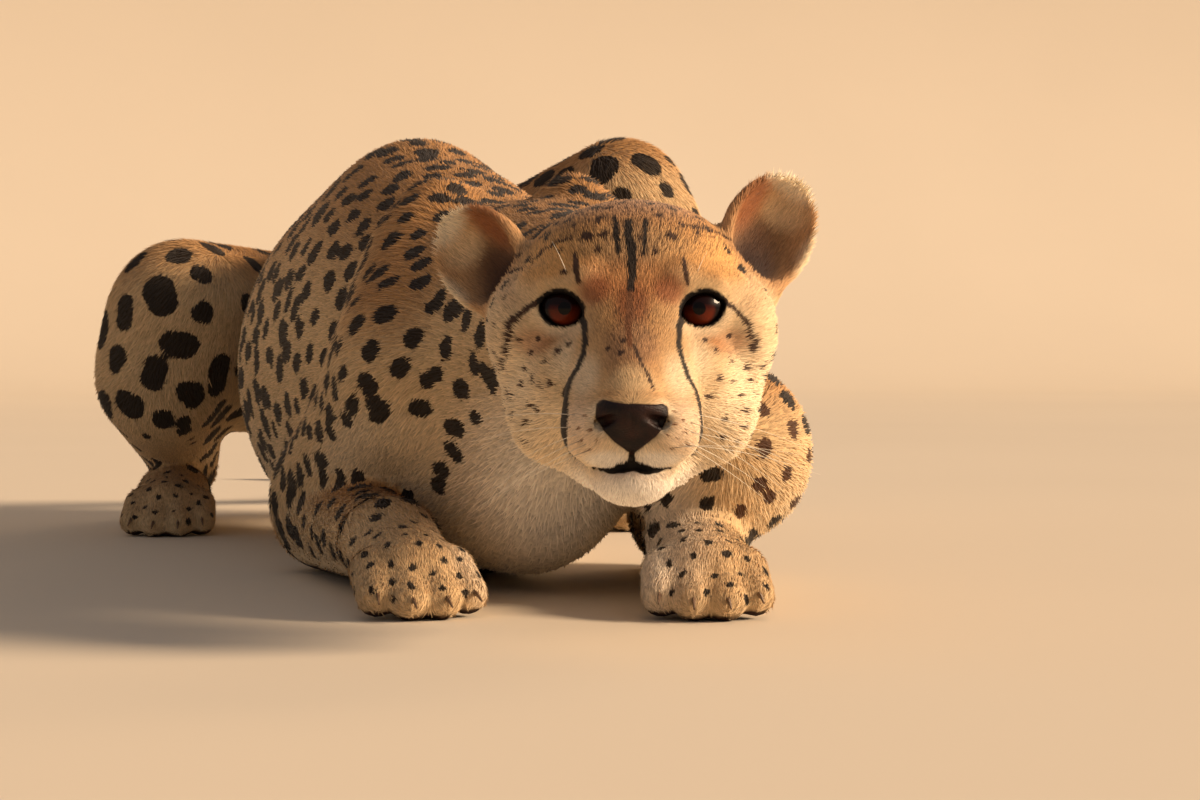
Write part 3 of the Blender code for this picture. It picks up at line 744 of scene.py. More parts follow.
# Over the head, in its own frame: (place, reach each way, colour, share of it).
# A place with x is on both sides.
HEAD_COLOURS = [
    ((0, 60, 10), (95, 95, 85), "#CF9752", 1.0),
    ((0, 44, 60), (60, 72, 38), "#A88060", 0.9),
    ((60, 34, -8), (36, 60, 44), CREAM, 0.5),
    ((46, 8, 26), (26, 40, 20), "#E3AC66", 0.7),
    ((52, 20, -50), (44, 60, 44), CREAM, 0.95),
    ((0, 20, -98), (62, 84, 30), WHITE, 1.0),
    ((0, -40, -94), (36, 46, 19), "#FBF4E8", 1.0),
    ((30, -20, -30), (18, 18, 20), CREAM, 0.9),
    ((50, -8, -18), (18, 22, 11), RUFOUS, 0.45),
    ((0, -22, 16), (38, 26, 22), "#BE7A40", 0.58),
    # Painted shade under the brows: darker brown above each inner eye corner.
    ((19, -20, 9), (13, 16, 12), "#94502A", 0.75),
    # Painted light: a paler gold patch on each side of the forehead.
    ((16, -14, 36), (17, 22, 15), "#E2B072", 0.5),
    ((0, -32, 2), (13, 24, 24), "#8A4A26", 0.75),
    ((0, -14, 36), (26, 30, 18), GREY, 0.45),
    ((0, -50, -20), (19, 26, 24), "#A47A54", 0.9),
    ((0, -64, -38), (15, 18, 13), SAND, 0.85),
    ((24, -44, -38), (13, 30, 20), "#EBD3AE", 0.85),
    ((27, -60, -62), (20, 30, 20), "#EED4B4", 0.9),
    ((16, -70, -56), (10, 14, 13), CREAM, 0.95),
    ((13, -62, -78), (18, 16, 8), WHITE, 0.9),
]
# Over the ears: (place in the ear's own frame, reach, colour, share)
EAR_COLOURS = [
    ((0, 0, 0), (60, 60, 70), "#CDA270", 1.0),
    ((0, 20, -2), (46, 14, 46), BLACK, 0.95),
    ((0, -10, 0), (34, 24, 46), "#A5693C", 0.7),
    # Painted shade in the hollow of the cup: dark brown, darkest near its bottom.
    ((0, 6, -6), (26, 19, 34), "#4A2A1A", 0.8),
    ((2, 2, -16), (22, 20, 24), "#2E150C", 0.95),
    ((-16, 0, 12), (15, 19, 26), "#96552A", 0.85),
    ((5, 0, 20), (17, 20, 15), "#E0C49A", 0.75),
    ((29, 0, 4), (10, 26, 40), "#F3DFBA", 0.95),
    ((0, 0, 38), (46, 30, 13), "#F6E6C6", 0.95),
]
# Over the body, from the floor point between the shoulder blades
BODY_COLOURS = [
    ((12, -200, 60), (95, 150, 110), WHITE, 1.0),
    ((0, 300, 0), (120, 500, 55), WHITE, 0.95),
    ((-190, 420, 150), (90, 150, 120), SAND, 0.7),
    ((190, 420, 200), (90, 150, 150), SAND, 0.7),
    ((-15, 1235, 20), (60, 50, 50), WHITE, 1.0),
]


def lay_colours(colour, places, table, mirrored=False):
    """Lays each colour of a table over the ones before it, strongest at its place."""
    for place, reach, code, share in table:
        for side in (-1, 1) if mirrored and place[0] else (1,):
            away = lengths((places - np.array(place) * (side, 1, 1)) / reach)
            colour += (linear(code) - colour) * (share * smooth(1.0, 0.35, away))[:, None]


def lid_distance(q, side):
    """Distance from the edge of the eye's opening as seen from ahead, and the height there along its tilt."""
    x, z = side * q[..., 0] - LID_CENTRE[0], q[..., 2] - LID_CENTRE[1]
    tilt = np.radians(LID_TILT)
    along, up = x * np.cos(tilt) + z * np.sin(tilt), z * np.cos(tilt) - x * np.sin(tilt)
    return np.maximum(np.hypot(along, up - LID_OFFSET), np.hypot(along, up + LID_OFFSET)) - LID_CIRCLE, up


def ground_colour(points, normals):
    """The coat's colour between its spots, with painted shade in the ears' hollows and under the brows and
    painted light on the forehead, and how grizzled it is.
    """
    up = normals[:, 2]
    colour = np.tile(linear(SAND), (len(points), 1))
    colour += (linear(TAWNY) - colour) * smooth(0.1, 0.85, up)[:, None]
    colour += (linear(CREAM) - colour) * smooth(-0.1, -0.7, up)[:, None]
    for leg in LEGS:
        paw_share = smooth(170, 70, lengths(points - leg["toes"]))
        colour += (linear(SAND) - colour) * 0.8 * paw_share[:, None]
    lay_colours(colour, points, BODY_COLOURS)
    head_share = smooth(150, 100, lengths((points - FACE_MIDDLE) / (1, 1.15, 1)))
    on_head = colour.copy()
    q = in_head(points)
    lay_colours(on_head, q, HEAD_COLOURS, True)
    for s in (-1, 1):
        off, z = lid_distance(q, s)
        share = smooth(10, 2, off) * smooth(0, -6, z) * (q[:, 1] < 20)
        on_head += (linear(CREAM) - on_head) * (0.6 * share)[:, None]
    colour += (on_head - colour) * head_share[:, None]
    for place in EARS.values():
        r = (points - at_head(place["centre"])) @ (HEAD @ turn(*place["turned"]))
        on_ear = colour.copy()
        lay_colours(on_ear, r * (np.sign(place["centre"][0]), 1, 1), EAR_COLOURS)
        share = smooth(1.1, 0.85, lengths((r - (0, 0, 4)) / (36, 30, 44)))
        colour += (on_ear - colour) * share[:, None]
    crown = lengths((q - (0, 20, 46)) / (62, 66, 40))
    bridge = lengths((q - (0, -45, -12)) / (18, 40, 30))
    grizzle = np.maximum(smooth(1, 0.5, crown), 0.7 * smooth(1, 0.5, bridge))
    return colour, np.maximum(grizzle, 0.25 * smooth(0.2, 0.9, up))


# ---------------------------------------------------------------- lines and spots
# Lines on the face, in the head's frame: (colour, (x, y, z, width) ...)
FACE_LINES = [
    (BLACK, (-27.5, -16, -4, 3.2), (-24.5, -18, -8, 3.6), (-24, -22, -17, 3.2), (-25, -26, -24, 3.2),
     (-28, -29, -31, 3.2), (-32, -30, -38, 4.2), (-34.5, -29, -45, 6.0), (-35.5, -25, -53, 7.2),
     (-35.5, -20, -61, 6.8), (-34.5, -20, -68, 4.6), (-32, -22, -76, 2.6)),
    (BLACK, (27.5, -16, -4, 3.2), (24.5, -19, -9, 3.6), (24, -22, -19, 2.8), (26, -27, -27, 2.8),
     (29, -30, -36, 2.9), (33, -31, -43, 3.3), (35, -29, -51, 3.8), (36, -25, -59, 4.0),
     (35, -20, -67, 3.6), (32.5, -20, -76, 2.4)),
    (UMBER, (-50, 16, 4, 2.8), (-58, -6, -2, 2.8), (-64, -4, -7, 4), (-66, -4, -16, 3),
     (-67, -1, -23, 2.6), (-69, 6, -31, 2.2)),
    (UMBER, (48, 17, 5, 2.4), (54, 9, 0, 1.8), (59, -6, -5, 2.2), (62, -7, -9, 2.2),
     (64, -5, -16, 2.2)),
    (BLACK, (-2, -5, 46, 4), (-2, -13, 38, 4), (0, -17, 31, 4.6), (0, -20, 23, 4.4), (0, -23, 16, 3.6),
     (-1, -26, 8, 2.4)),
    (BLACK, (-9, -2, 48, 2.4), (-8, -11, 38, 2.2), (-7, -17, 29, 1.6)),
    (BLACK, (7, -2, 47, 2.4), (7, -11, 38, 2), (6, -18, 27, 1.4)),
    (BROWN, (-1, -26, 8, 2.6), (-1, -35, -1, 3), (-2, -44, -10, 3), (-1, -53, -19, 2)),
    (UMBER, (-30, -13, 29, 1.8), (-29, -18, 20, 2.8), (-28, -20, 14, 2.2)),
    (UMBER, (27, -17, 26, 1.8), (28, -20, 19, 2.4), (29, -20, 13, 1.6)),
    (UMBER, (1, -53, -19, 1.1), (4, -61, -27, 1.1), (8, -66, -34, 1.1), (11, -70, -41, 1.1)),
    (UMBER, (-40, -6, 46, 2), (-50, 6, 40, 2.2), (-62, 22, 30, 2.2), (-70, 36, 24, 2)),
    (UMBER, (30, -2, 44, 1.6), (44, 12, 42, 2), (56, 28, 38, 2)),
]
# Spots on the face: (x, y, z, width)
FACE_SPOTS = [
    (65, -4, -20, 5.2), (-24, -8, 38, 5.4), (-12, 10, 54, 4.4), (-16, -1, 48, 3.4), (-15, -11, 39, 3.6),
    (-18, -15, 31, 2.6), (21, -10, 38, 4.8), (-31, 4, 44, 2.6), (26, 2, 45, 3), (14, 4, 49, 3.4),
    (-36, 6, 47, 3), (13, -16, 30, 2), (-18, -1, 46, 2), (4, -14, 36, 2), (35, 4, 41, 1.8),
    (43, 19, 42, 2), (5, -17, 29, 1.8), (-36, -14, 19, 2), (-59, -5, -40, 2), (-65, 6, -47, 2.2),
    (-56, -1, -61, 2.6), (-60, -7, -17, 2), (-54, -11, -23, 1.8), (-50, -10, -16, 1.8),
    (-68, 5, 5, 1.8), (58, -5, -46, 1.8), (53, -14, -38, 1.5), (50, -8, -58, 1.5), (56, 5, -70, 1.5),
    (44, -21, -22, 1.8), (38, -20, -17, 1.8), (52, -9, -14, 1.8), (64, 3, -38, 2), (60, 0, -54, 1.5),
    (-73, 4, -9, 1.8), (-54, 3, 21, 1.8), (-51, 18, 32, 1.8), (-47, 34, 42, 1.8), (-38, -2, 31, 1.8),
    (-57, -8, -31, 1.8), (-48, -21, -40, 1.8), (-54, -8, -51, 1.8), (-6, -56, -23, 2),
    (-12, -49, -21, 1.8), (-4, -50, -17, 1.8), (-52, -12, -37, 2.4), (-43, -24, -39, 2.2),
    (-39, -22, -23, 2.4), (-50, -14, -54, 2.4), (-64, 2, -57, 2.4), (-33, -26, -19, 1.8),
    (-46, -18, -28, 2), (-58, 4, -70, 2.4), (-71, 14, -44, 2.6), (-73, 20, -24, 2.6), (52, -14, -28, 2),
    (46, -20, -36, 2), (62, 2, -30, 2.2), (66, 14, -46, 2.4), (48, -10, -68, 2), (56, 6, -82, 2),
    (70, 22, -30, 2.4), (41, -24, -46, 1.8), (60, 10, -62, 2.2),
]
# Where the whiskers grow: (x, y, z)
WHISKER_ROOTS = [
    (-24, -68, -55), (-27, -69, -61), (-21, -72, -62), (-25, -71, -67), (-18, -72, -67),
    (-21, -70, -72), (22, -67, -53), (26, -68, -57), (22, -71, -59), (27, -69, -63), (23, -71, -66),
    (18, -72, -65), (28, -68, -70), (20, -71, -71),
]
# Spots that show best on the body: (x, y, z), then their width
HAUNCH_SPOTS = [
    (-207, 374, 201, 30), (-190, 371, 157, 27), (-235, 391, 183, 26), (-193, 388, 229, 24),
    (-173, 378, 217, 18), (-170, 369, 185, 18), (-213, 381, 129, 26), (-240, 396, 145, 22),
    (-181, 384, 117, 22), (-201, 392, 96, 22), (200, 391, 308, 24), (178, 381, 286, 15),
    (218, 387, 287, 15), (229, 417, 314, 14),
]
FORELEG_SPOTS = [
    (127, -209, 120, 11), (151, -204, 106, 12), (129, -216, 96, 12), (164, -188, 88, 11),
    (143, -210, 81, 11), (123, -216, 74, 11), (135, -208, 65, 10), (158, -182, 60, 11),
    (115, -209, 56, 10), (166, -167, 121, 9),
]
SHOULDER_SPOTS = [
    (-95, -119, 181), (-79, -143, 168), (-64, -162, 156), (-102, -128, 159), (-86, -144, 144),
    (-105, -129, 134), (-66, -140, 187), (-54, -181, 174), (-56, -172, 135), (-74, -146, 119),
    (-96, -130, 113), (-56, -154, 107),
]
BACK_SPOTS = [
    (-90, 129, 269), (-72, 105, 278), (-50, 103, 289), (-35, 63, 280), (-27, -14, 265),
    (-105, 120, 250), (-90, 73, 248), (-72, 48, 254), (-61, -20, 254), (-46, -52, 246),
    (-119, 127, 226), (-104, 70, 224), (-88, 34, 230), (-79, -50, 230),
]
# How large and how far apart the spots are near a place: (place, reach, radius, spacing)
SPOT_SIZES = [
    (HEAD_MIDDLE, 150, 3.4, 13),
    (np.array((0, 0, 250.0)), 170, 8.0, 19),
    (np.array((-190, 440, 150.0)), 190, 13.0, 37),
    (np.array((200, 440, 200.0)), 190, 13.0, 37),
    (np.array((0, 640, 200.0)), 150, 10.5, 27),
    (np.array((110, -100, 90.0)), 150, 6.6, 21),
    (np.array((-90, -100, 90.0)), 150, 7.0, 20),
]
SPOT_SIZES += [(np.array(leg["toes"], float), 110, 2.6, 14) for leg in LEGS]
# Middle and width of each ring, as shares of the tail's length
TAIL_RINGS = ((0.62, 0.035), (0.72, 0.04), (0.82, 0.045), (0.92, 0.05))
TAIL_LENGTH = 700
SMALL_SPOT = 7.6  # radius of the spots of the shoulder and back
FORELEG_INK = "#4A2C1A"
MARK_REACH = 7  # how far outside a mark its distance is still told
UNMARKED = 9.0


def spot_sizes(points):
    """Radius and spacing of the spots at each place."""
    radius, spacing = np.full(len(points), 9.2), np.full(len(points), 22.5)
    for place, reach, r, s in SPOT_SIZES:
        near = smooth(reach, 0.5 * reach, lengths(points - place))
        radius += (r - radius) * near
        spacing += (s - spacing) * near
    return radius, spacing


def spotless(points, normals):
    """Places with no spots of their own: face, throat, belly, soles and the ringed end of the tail."""
    q = in_head(points)
    face = (q[:, 1] < 26) & (np.abs(q[:, 0]) < 95) & (np.abs(q[:, 2] + 20) < 110)
    x, y, z = points.T
    throat = (y < -60) & (y > -330) & (z < 95) & (np.abs(x - 14) < 38)
    ears = np.zeros(len(points), bool)
    for place in EARS.values():
        ears |= lengths(points - at_head(place["centre"])) < 44
    # Far out on the legs only what faces straight down is spotless.
    under = (normals[:, 2] < np.where(np.abs(x) > 130, -0.85, -0.45)) | (z < 12)
    return face | throat | ears | under | (tail_share(points) > 0.56)


def tail_share(points):
    """How far along the tail each place is, as a share of its length, or 0 off it."""
    path = smooth_path(TAIL, 4)
    share = np.zeros(len(points))
    near = np.flatnonzero(points[:, 1] > 700)
    away = lengths(points[near][:, None] - path[None])
    share[near] = away.argmin(1) / (len(path) - 1)
    return share


LINE_STEP = 1.2  # from dab to dab along a line
ROW_STEP = 1.4  # from dab to dab across it
LINE_DAB = 1.3  # radius of the largest dab in a line
FACE_SPREAD = 0.45  # added to half a line's width on the face, since the hair's edge hides part of it
WIDEST_LINE = 11.0  # how far a line's edge lies from its middle where the face slopes away


class Marks:
    """Round dabs that add up to the lines and spots: (place, radius, colour)."""

    def __init__(self, skin):
        self.skin = skin
        self.places, self.radii, self.inks = [], [], []

    def dab(self, place, radius, ink):
        self.places.append(np.array(self.skin.find_nearest(Vector(place))[0]))
        self.radii.append(radius)
        self.inks.append(ink)

    def on_face(self, x, y, z):
        """The place on the skin straight behind a place before the face."""
        start, ahead = Vector(at_head((x, -140, z))), Vector(HEAD @ (0, 1, 0))
        hit = self.skin.ray_cast(start, ahead)[0]
        if hit is None or in_head(np.array(hit))[1] > y + 25:
            return at_head((x, y, z))
        return np.array(hit)

    def line(self, ink, points):
        """A line of the width it has from ahead, also where the face slopes away."""
        p = np.array(points, float)
        for a, b in zip(p, p[1:]):
            across = unit((a[2] - b[2], 0, b[0] - a[0]))
            steps = int(np.linalg.norm((b - a)[:3]) / LINE_STEP) + 1
            for t in np.linspace(0, 1, steps):
                c = a + (b - a) * t
                radius = min(c[3] / 2, LINE_DAB) + FACE_SPREAD
                reach = max(c[3] / 2 + FACE_SPREAD - radius, 0)
                offsets = np.linspace(-reach, reach, 1 + 2 * int(reach + 0.99))
                row = [self.on_face(*(c[:3] + across * offset)) for offset in offsets]
                middle = row[len(row) // 2]
                row = [place for place in row if np.linalg.norm(place - middle) < WIDEST_LINE]
                self.dab(row[0], radius, ink)
                for near, far in zip(row, row[1:]):
                    gaps = min(int(np.linalg.norm(far - near) / ROW_STEP) + 1, 6)
                    for n in range(1, gaps + 1):
                        self.dab(near + (far - near) * n / gaps, radius, ink)

    def spot(self, place, radius, ink, along, rng):
        """A few dabs that overlap, a little longer along the lie."""
        for _ in range(4):
            shift = rng.normal(0, 0.22, 3) * radius + along * rng.normal(0, 0.28) * radius
            self.dab(place + shift, radius * rng.uniform(0.68, 0.86), ink)


def all_marks(points, normals, skin, rng):
    """Every dab of the animal. points and normals are those of the skin's corners."""
    marks = Marks(skin)
    for ink, *line in FACE_LINES:
        marks.line(ink, line)
    for x, y, z, width in FACE_SPOTS:
        marks.spot(marks.on_face(x, y, z), width / 2 + 1.0, UMBER, np.zeros(3), rng)
    for x, y, z in WHISKER_ROOTS:
        marks.dab(marks.on_face(x, y, z), 1.0, BROWN)
    for path, radii in LIPS:
        along = np.linspace(0, len(radii) - 1, 4 * len(radii))
        line = np.array([np.interp(along, range(len(radii)), v) for v in np.array(path).T]).T
        for place, radius in zip(at_head(line), np.interp(along, range(len(radii)), radii)):
            marks.dab(place, radius + 0.4, BLACK)
    taken = []
    for table, ink in ((HAUNCH_SPOTS, BLACK), (FORELEG_SPOTS, FORELEG_INK)):
        for x, y, z, width in table:
            taken.append(((x, y, z), width / 2, ink))
    for table in (SHOULDER_SPOTS, BACK_SPOTS):
        taken += [(place, SMALL_SPOT, BLACK) for place in table]
    lie = flow(points)
    radius, spacing = spot_sizes(points)
    open_ = ~spotless(points, normals)
    for place, r, ink in taken:
        i = lengths(points - place).argmin()
        marks.spot(points[i], r, ink, lie[i], rng)
        open_ &= lengths(points - points[i]) > r + radius + 5
    # The rest stand where a random order of places leaves room for them.
    for i in rng.permutation(len(points)):
        if not open_[i]:
            continue
        size = radius[i] * rng.uniform(0.78, 1.18)
        marks.spot(points[i], size, BLACK, lie[i], rng)
        near = np.abs(points - points[i]).max(1) < spacing[i]
        off = points[near] - points[i]
        open_[near] &= lengths(off) > spacing[i] * 0.88
    return marks


def spot_distance(points, marks):
    """Distance from each point to the nearest edge of a mark, negative inside it, and that mark's colour."""
    tree = kd_tree(points)
    distance = np.full(len(points), UNMARKED)
    ink = np.tile(linear(BLACK), (len(points), 1))
    colours = {code: linear(code) for code in set(marks.inks)}
    for place, radius, code in zip(marks.places, marks.radii, marks.inks):
        found = tree.find_range(Vector(place), radius + MARK_REACH)
        if not found:
            continue
        index = np.array([f[1] for f in found])
        off = np.array([f[2] for f in found]) - radius
        closer = off < distance[index]
        distance[index[closer]] = off[closer]
        ink[index[closer]] = colours[code]
    rings = tail_share(points)
    for at, width in TAIL_RINGS:
        off = (np.abs(rings - at) - width / 2) * TAIL_LENGTH
        ring = (rings > 0.5) & (off < distance)
        distance[ring] = off[ring]
    return distance, ink


def kd_tree(points):
    """What finds the points near a place."""
    tree = KDTree(len(points))
    for i, p in enumerate(points):
        tree.insert(Vector(p), i)
    tree.balance()
    return tree


# ---------------------------------------------------------------- bare places
# Outline of the nose leather as seen from ahead: (x, z)
NOSE_PAD = [
    (-18, -49), (-15, -46.5), (-10, -47.5), (-3, -48.5), (4, -48.5), (10, -49), (15, -48.5), (18, -50),
    (18.5, -54), (16.5, -60), (12.5, -65), (7, -69.5), (2.5, -73), (0, -75), (-3, -72.5), (-9, -68),
    (-14.5, -62), (-18.5, -56),
]


def outline_distance(x, z, outline):
    """Signed distance to a closed outline, negative inside."""
    corners = np.array(outline, float)
    best, inside = np.full(x.shape, 1e4), np.zeros(x.shape, bool)
    for (ax, az), (bx, bz) in zip(corners, np.roll(corners, -1, 0)):
        ex, ez = bx - ax, bz - az
        t = np.clip(((x - ax) * ex + (z - az) * ez) / (ex * ex + ez * ez), 0, 1)
        best = np.minimum(best, np.hypot(x - ax - t * ex, z - az - t * ez))
        crosses = ((az > z) != (bz > z)) & (x < (bx - ax) * (z - az) / (bz - az + 1e-9) + ax)
        inside ^= crosses
    return np.where(inside, -best, best)


def lip_distance(points):
    """Distance from the line of the mouth."""
    return np.min([head_chain(*line).distance(points) for line in LIPS], 0)


def bareness(points, normals):
    """(share of bare skin, share of dark lid or lip) at each place."""
    q = in_head(points)
    front = q[:, 1] < -52
    pad = np.where(front, smooth(0.8, -0.4, outline_distance(q[:, 0], q[:, 2], NOSE_PAD)), 0)
    dark = np.zeros(len(points))
    for s in (-1, 1):
        off, z = lid_distance(q, s)
        heavy = 1.7 + 0.9 * smooth(-4, 6, z)
        near = (q[:, 1] < 10) & (np.abs(s * q[:, 0] - LID_CENTRE[0]) < 26)
        dark = np.maximum(dark, np.where(near, smooth(heavy + 0.8, heavy - 0.4, off), 0))
    dark = np.maximum(dark, smooth(1.1, -0.3, lip_distance(points)))
    sole = smooth(-0.5, -0.85, normals[:, 2]) * (points[:, 2] < 8)
    return np.maximum(pad, sole), dark


# ---------------------------------------------------------------- materials
MATH, MIX, MAP = "ShaderNodeMath", "ShaderNodeMix", "ShaderNodeMapRange"
NOISE, BUMP, VECTOR = "ShaderNodeTexNoise", "ShaderNodeBump", "ShaderNodeVectorMath"
ATTRIBUTE, PLACE = "ShaderNodeAttribute", "ShaderNodeTexCoord"
SHADER, OUTPUT = "ShaderNodeBsdfPrincipled", "ShaderNodeOutputMaterial"
STORE = "GeometryNodeStoreNamedAttribute"
SHARE, UNDER, OVER = 0, 6, 7  # the inputs of a mix of two colours


def add_node(tree, kind, inputs=(), **settings):
    """Adds a node with its settings.

    Inputs come in order or by name. A node or socket is linked, any other value is set.
    """
    node = tree.nodes.new(kind)
    for name, value in settings.items():
        setattr(node, name, value)
    for name, value in inputs.items() if isinstance(inputs, dict) else enumerate(inputs):
        if isinstance(value, bpy.types.Node):
            value = next(socket for socket in value.outputs if socket.enabled)
        if isinstance(value, bpy.types.NodeSocket):
            tree.links.new(value, node.inputs[name])
        else:
            node.inputs[name].default_value = value
    return node


def new_material(name):
    """An empty material, and what adds a node to it."""
    material = bpy.data.materials.new(name)
    material.use_nodes = True
    material.node_tree.nodes.clear()
    return material, partial(add_node, material.node_tree)


def colour_of(code):
    return (*linear(code), 1.0)


def fur(name, coat):
    """Short dense hair: matt, a soft sheen, each tuft its own shade, paler at the tip than at the root."""
    material, add = new_material(name)
    place = add(PLACE).outputs["Object"]
    ground, ink = (add(ATTRIBUTE, attribute_name=name) for name in ("ground", "ink"))
    spot, grizzle, shade, rise, bare, dark = (
        add(ATTRIBUTE, attribute_name=name).outputs["Fac"]
        for name in ("spot", "grizzle", "shade", "rise", "bare", "dark")
    )
    # Patches of about 4 mm and 36 mm.
    fine = add(NOISE, {"Vector": place, "Scale": 260.0, "Detail": 3.0})
    broad = add(NOISE, {"Vector": place, "Scale": 28.0, "Detail": 2.0})
    if not coat:
        shade = add(MATH, (fine, 2.4, -0.7), operation="MULTIPLY_ADD", use_clamp=True)
        rise = 0.25
    # Uneven edges of the spots: hairs of either colour mixed over about a millimetre.
    ragged = spot
    for pattern, size in ((shade, 1.1), (fine, 1.8)):
        uneven = add(MATH, (pattern, 0.5), operation="SUBTRACT")
        ragged = add(MATH, (uneven, size, ragged), operation="MULTIPLY_ADD")
    mark = add(MAP, {"Value": ragged, "From Min": 0.45, "From Max": -0.45}, interpolation_type="SMOOTHSTEP")
    # Lightness from tuft to tuft, in broad patches, and from root to tip.
    light = 0.62
    for pattern, size in ((shade, 0.48), (broad, 0.24), (rise, 0.22)):
        light = add(MATH, (pattern, size, light), operation="MULTIPLY_ADD")
    strength = add(MATH, (rise, 0.34, 0.72), operation="MULTIPLY_ADD") if coat else 0.86
    light = add(MATH, (light, strength), operation="MULTIPLY")
    colour = add(VECTOR, {0: ground, "Scale": light}, operation="SCALE")
    # Grizzled hair: some hairs with dark tips among the pale ones.
    dark_hair = add(MAP, {"Value": shade, "From Min": 0.42, "From Max": 0.30})
    grizzled = add(MATH, (dark_hair, grizzle), operation="MULTIPLY")
    layers = [(grizzled, 0.75, colour_of(UMBER)), (mark, 0.97, ink)]
    if not coat:
        layers += [(dark, 1.0, colour_of("#0A0504")), (bare, 1.0, colour_of("#2A1712"))]
    for share, most, over in layers:
        share = add(MATH, (share, most), operation="MULTIPLY")
        colour = add(MIX, {SHARE: share, UNDER: colour, OVER: over}, data_type="RGBA")
    look = {"Base Color": colour, "Roughness": 0.72, "Specular IOR Level": 0.3,
            "Sheen Weight": 0.12, "Sheen Roughness": 0.5}
    if not coat:
        # Strands 1.4 mm wide, because a single hair is too fine to show.
        strands = add(NOISE, {"Vector": place, "Scale": 700.0, "Detail": 2.0})
        look["Normal"] = add(BUMP, {"Height": strands, "Strength": 0.5, "Distance": 0.0006})
        look["Roughness"] = add(MATH, (dark, -0.1, 0.72), operation="MULTIPLY_ADD")
        look["Specular IOR Level"] = 0.15
        look["Sheen Weight"] = 0.0
    add(OUTPUT, {"Surface": add(SHADER, look)})
    return material


def nose_leather():
    """Bare moist nose skin: dark brown, with pebbles 0.8 mm wide and a soft gloss on its upper edge."""
    material, add = new_material("nose leather")
    place = add(PLACE).outputs["Object"]
    pebbles = add("ShaderNodeTexVoronoi", {"Vector": place, "Scale": 1300.0}, feature="F1")
    patches = add(NOISE, {"Vector": place, "Scale": 120.0, "Detail": 3.0})
    share = add(MAP, {"Value": patches, "From Min": 0.4, "From Max": 0.7})
    colour = add(MIX, {SHARE: share, UNDER: colour_of("#120504"), OVER: colour_of("#2C120A")},
                 data_type="RGBA")
    bump = add(BUMP, {"Height": pebbles, "Strength": 0.55, "Distance": 0.0004})
    look = {"Base Color": colour, "Normal": bump, "Roughness": 0.5, "Specular IOR Level": 0.22,
            "Coat Weight": 0.06, "Coat Roughness": 0.3}
    add(OUTPUT, {"Surface": add(SHADER, look)})
    return material


def eyeball_material(side):
    """Wet cornea over a deep amber iris: dark rim and pupil, radial fibres, painted lid shadow above and
    painted light below, a hard clear gloss.
    """
    material, add = new_material(f"cornea and iris {side}")
    across = add(ATTRIBUTE, attribute_name="iris_place").outputs["Vector"]
    x, _, z = add("ShaderNodeSeparateXYZ", (across,)).outputs
    radius = add(VECTOR, (across,), operation="LENGTH")
    angle = add(MATH, (z, x), operation="ARCTAN2")
    # Fibres that run out from the pupil: noise on a ring, slow along the radius.
    ring = [add(MATH, (add(MATH, (angle,), operation=wave), 3.0), operation="MULTIPLY")
            for wave in ("COSINE", "SINE")]
    ring.append(add(MATH, (radius, 0.10), operation="MULTIPLY"))
    fibres = add(NOISE, {"Vector": add("ShaderNodeCombineXYZ", ring), "Scale": 5.5, "Detail": 4.0})
    # Iris: near black above as painted shadow of the upper lid, turning amber towards its lower half as
    # painted light.
    low = add(MAP, {"Value": z, "From Min": 2.5, "From Max": -6.5})
    painted_lit_fibres = add(MAP, {"Value": fibres, "From Min": 0.35, "From Max": 0.7})
    painted_lit_fibres = add(MATH, (painted_lit_fibres, low), operation="MULTIPLY")
    rim = add(MAP, {"Value": radius, "From Min": 7.0, "From Max": 9.6}, interpolation_type="SMOOTHSTEP")
    pupil = add(MAP, {"Value": radius, "From Min": 3.7, "From Max": 3.1}, interpolation_type="SMOOTHSTEP")
    # The near-black base is the painted lid shadow; the amber and the fibres show only lower down.
    colour = colour_of("#170605")
    for share, most, over in ((low, 1.0, "#6A2410"), (painted_lit_fibres, 0.5, "#6E2E12"), (rim, 1.0, "#0D0605"),
                              (pupil, 1.0, "#060201")):
        share = add(MATH, (share, most), operation="MULTIPLY")
        colour = add(MIX, {SHARE: share, UNDER: colour, OVER: colour_of(over)}, data_type="RGBA")
    look = {"Base Color": colour, "Roughness": 0.3, "Specular IOR Level": 0.05,
            "Coat Weight": 0.45, "Coat Roughness": 0.02, "Coat IOR": 1.33}
    add(OUTPUT, {"Surface": add(SHADER, look)})
    return material


def horn():
    """Claw horn: dark to pale brown in streaks about 2 mm wide, worn smooth."""
    material, add = new_material("claw horn")
    place = add(PLACE).outputs["Object"]
    streaks = add(NOISE, {"Vector": place, "Scale": 420.0, "Detail": 2.0})
    colour = add(MIX, {SHARE: streaks, UNDER: colour_of("#2B1B14"), OVER: colour_of("#8A6E55")},
                 data_type="RGBA")
    bump = add(BUMP, {"Height": streaks, "Strength": 0.3, "Distance": 0.0002})
    look = {"Base Color": colour, "Normal": bump, "Roughness": 0.34, "Specular IOR Level": 0.5}
    add(OUTPUT, {"Surface": add(SHADER, look)})
    return material


def whisker_keratin():
    """Whisker: a stiff pale hair with a satin gloss, brown at its root."""
    material, add = new_material("whisker keratin")
    rise = add(ATTRIBUTE, attribute_name="rise").outputs["Fac"]
    root = add(MAP, {"Value": rise, "From Min": 0.0, "From Max": 0.25})
    colour = add(MIX, {SHARE: root, UNDER: colour_of("#5A3E28"), OVER: colour_of("#F3E8D2")},
                 data_type="RGBA")
    look = {"Base Color": colour, "Roughness": 0.4, "Specular IOR Level": 0.5}
    add(OUTPUT, {"Surface": add(SHADER, look)})
    return material


# ---------------------------------------------------------------- meshes and their attributes
def to_row(points):
    """From millimetres between the shoulder blades to the row's metres."""
    return (np.asarray(points) - ORIGIN) * MM


def from_row(coordinates):
    return coordinates / MM + ORIGIN


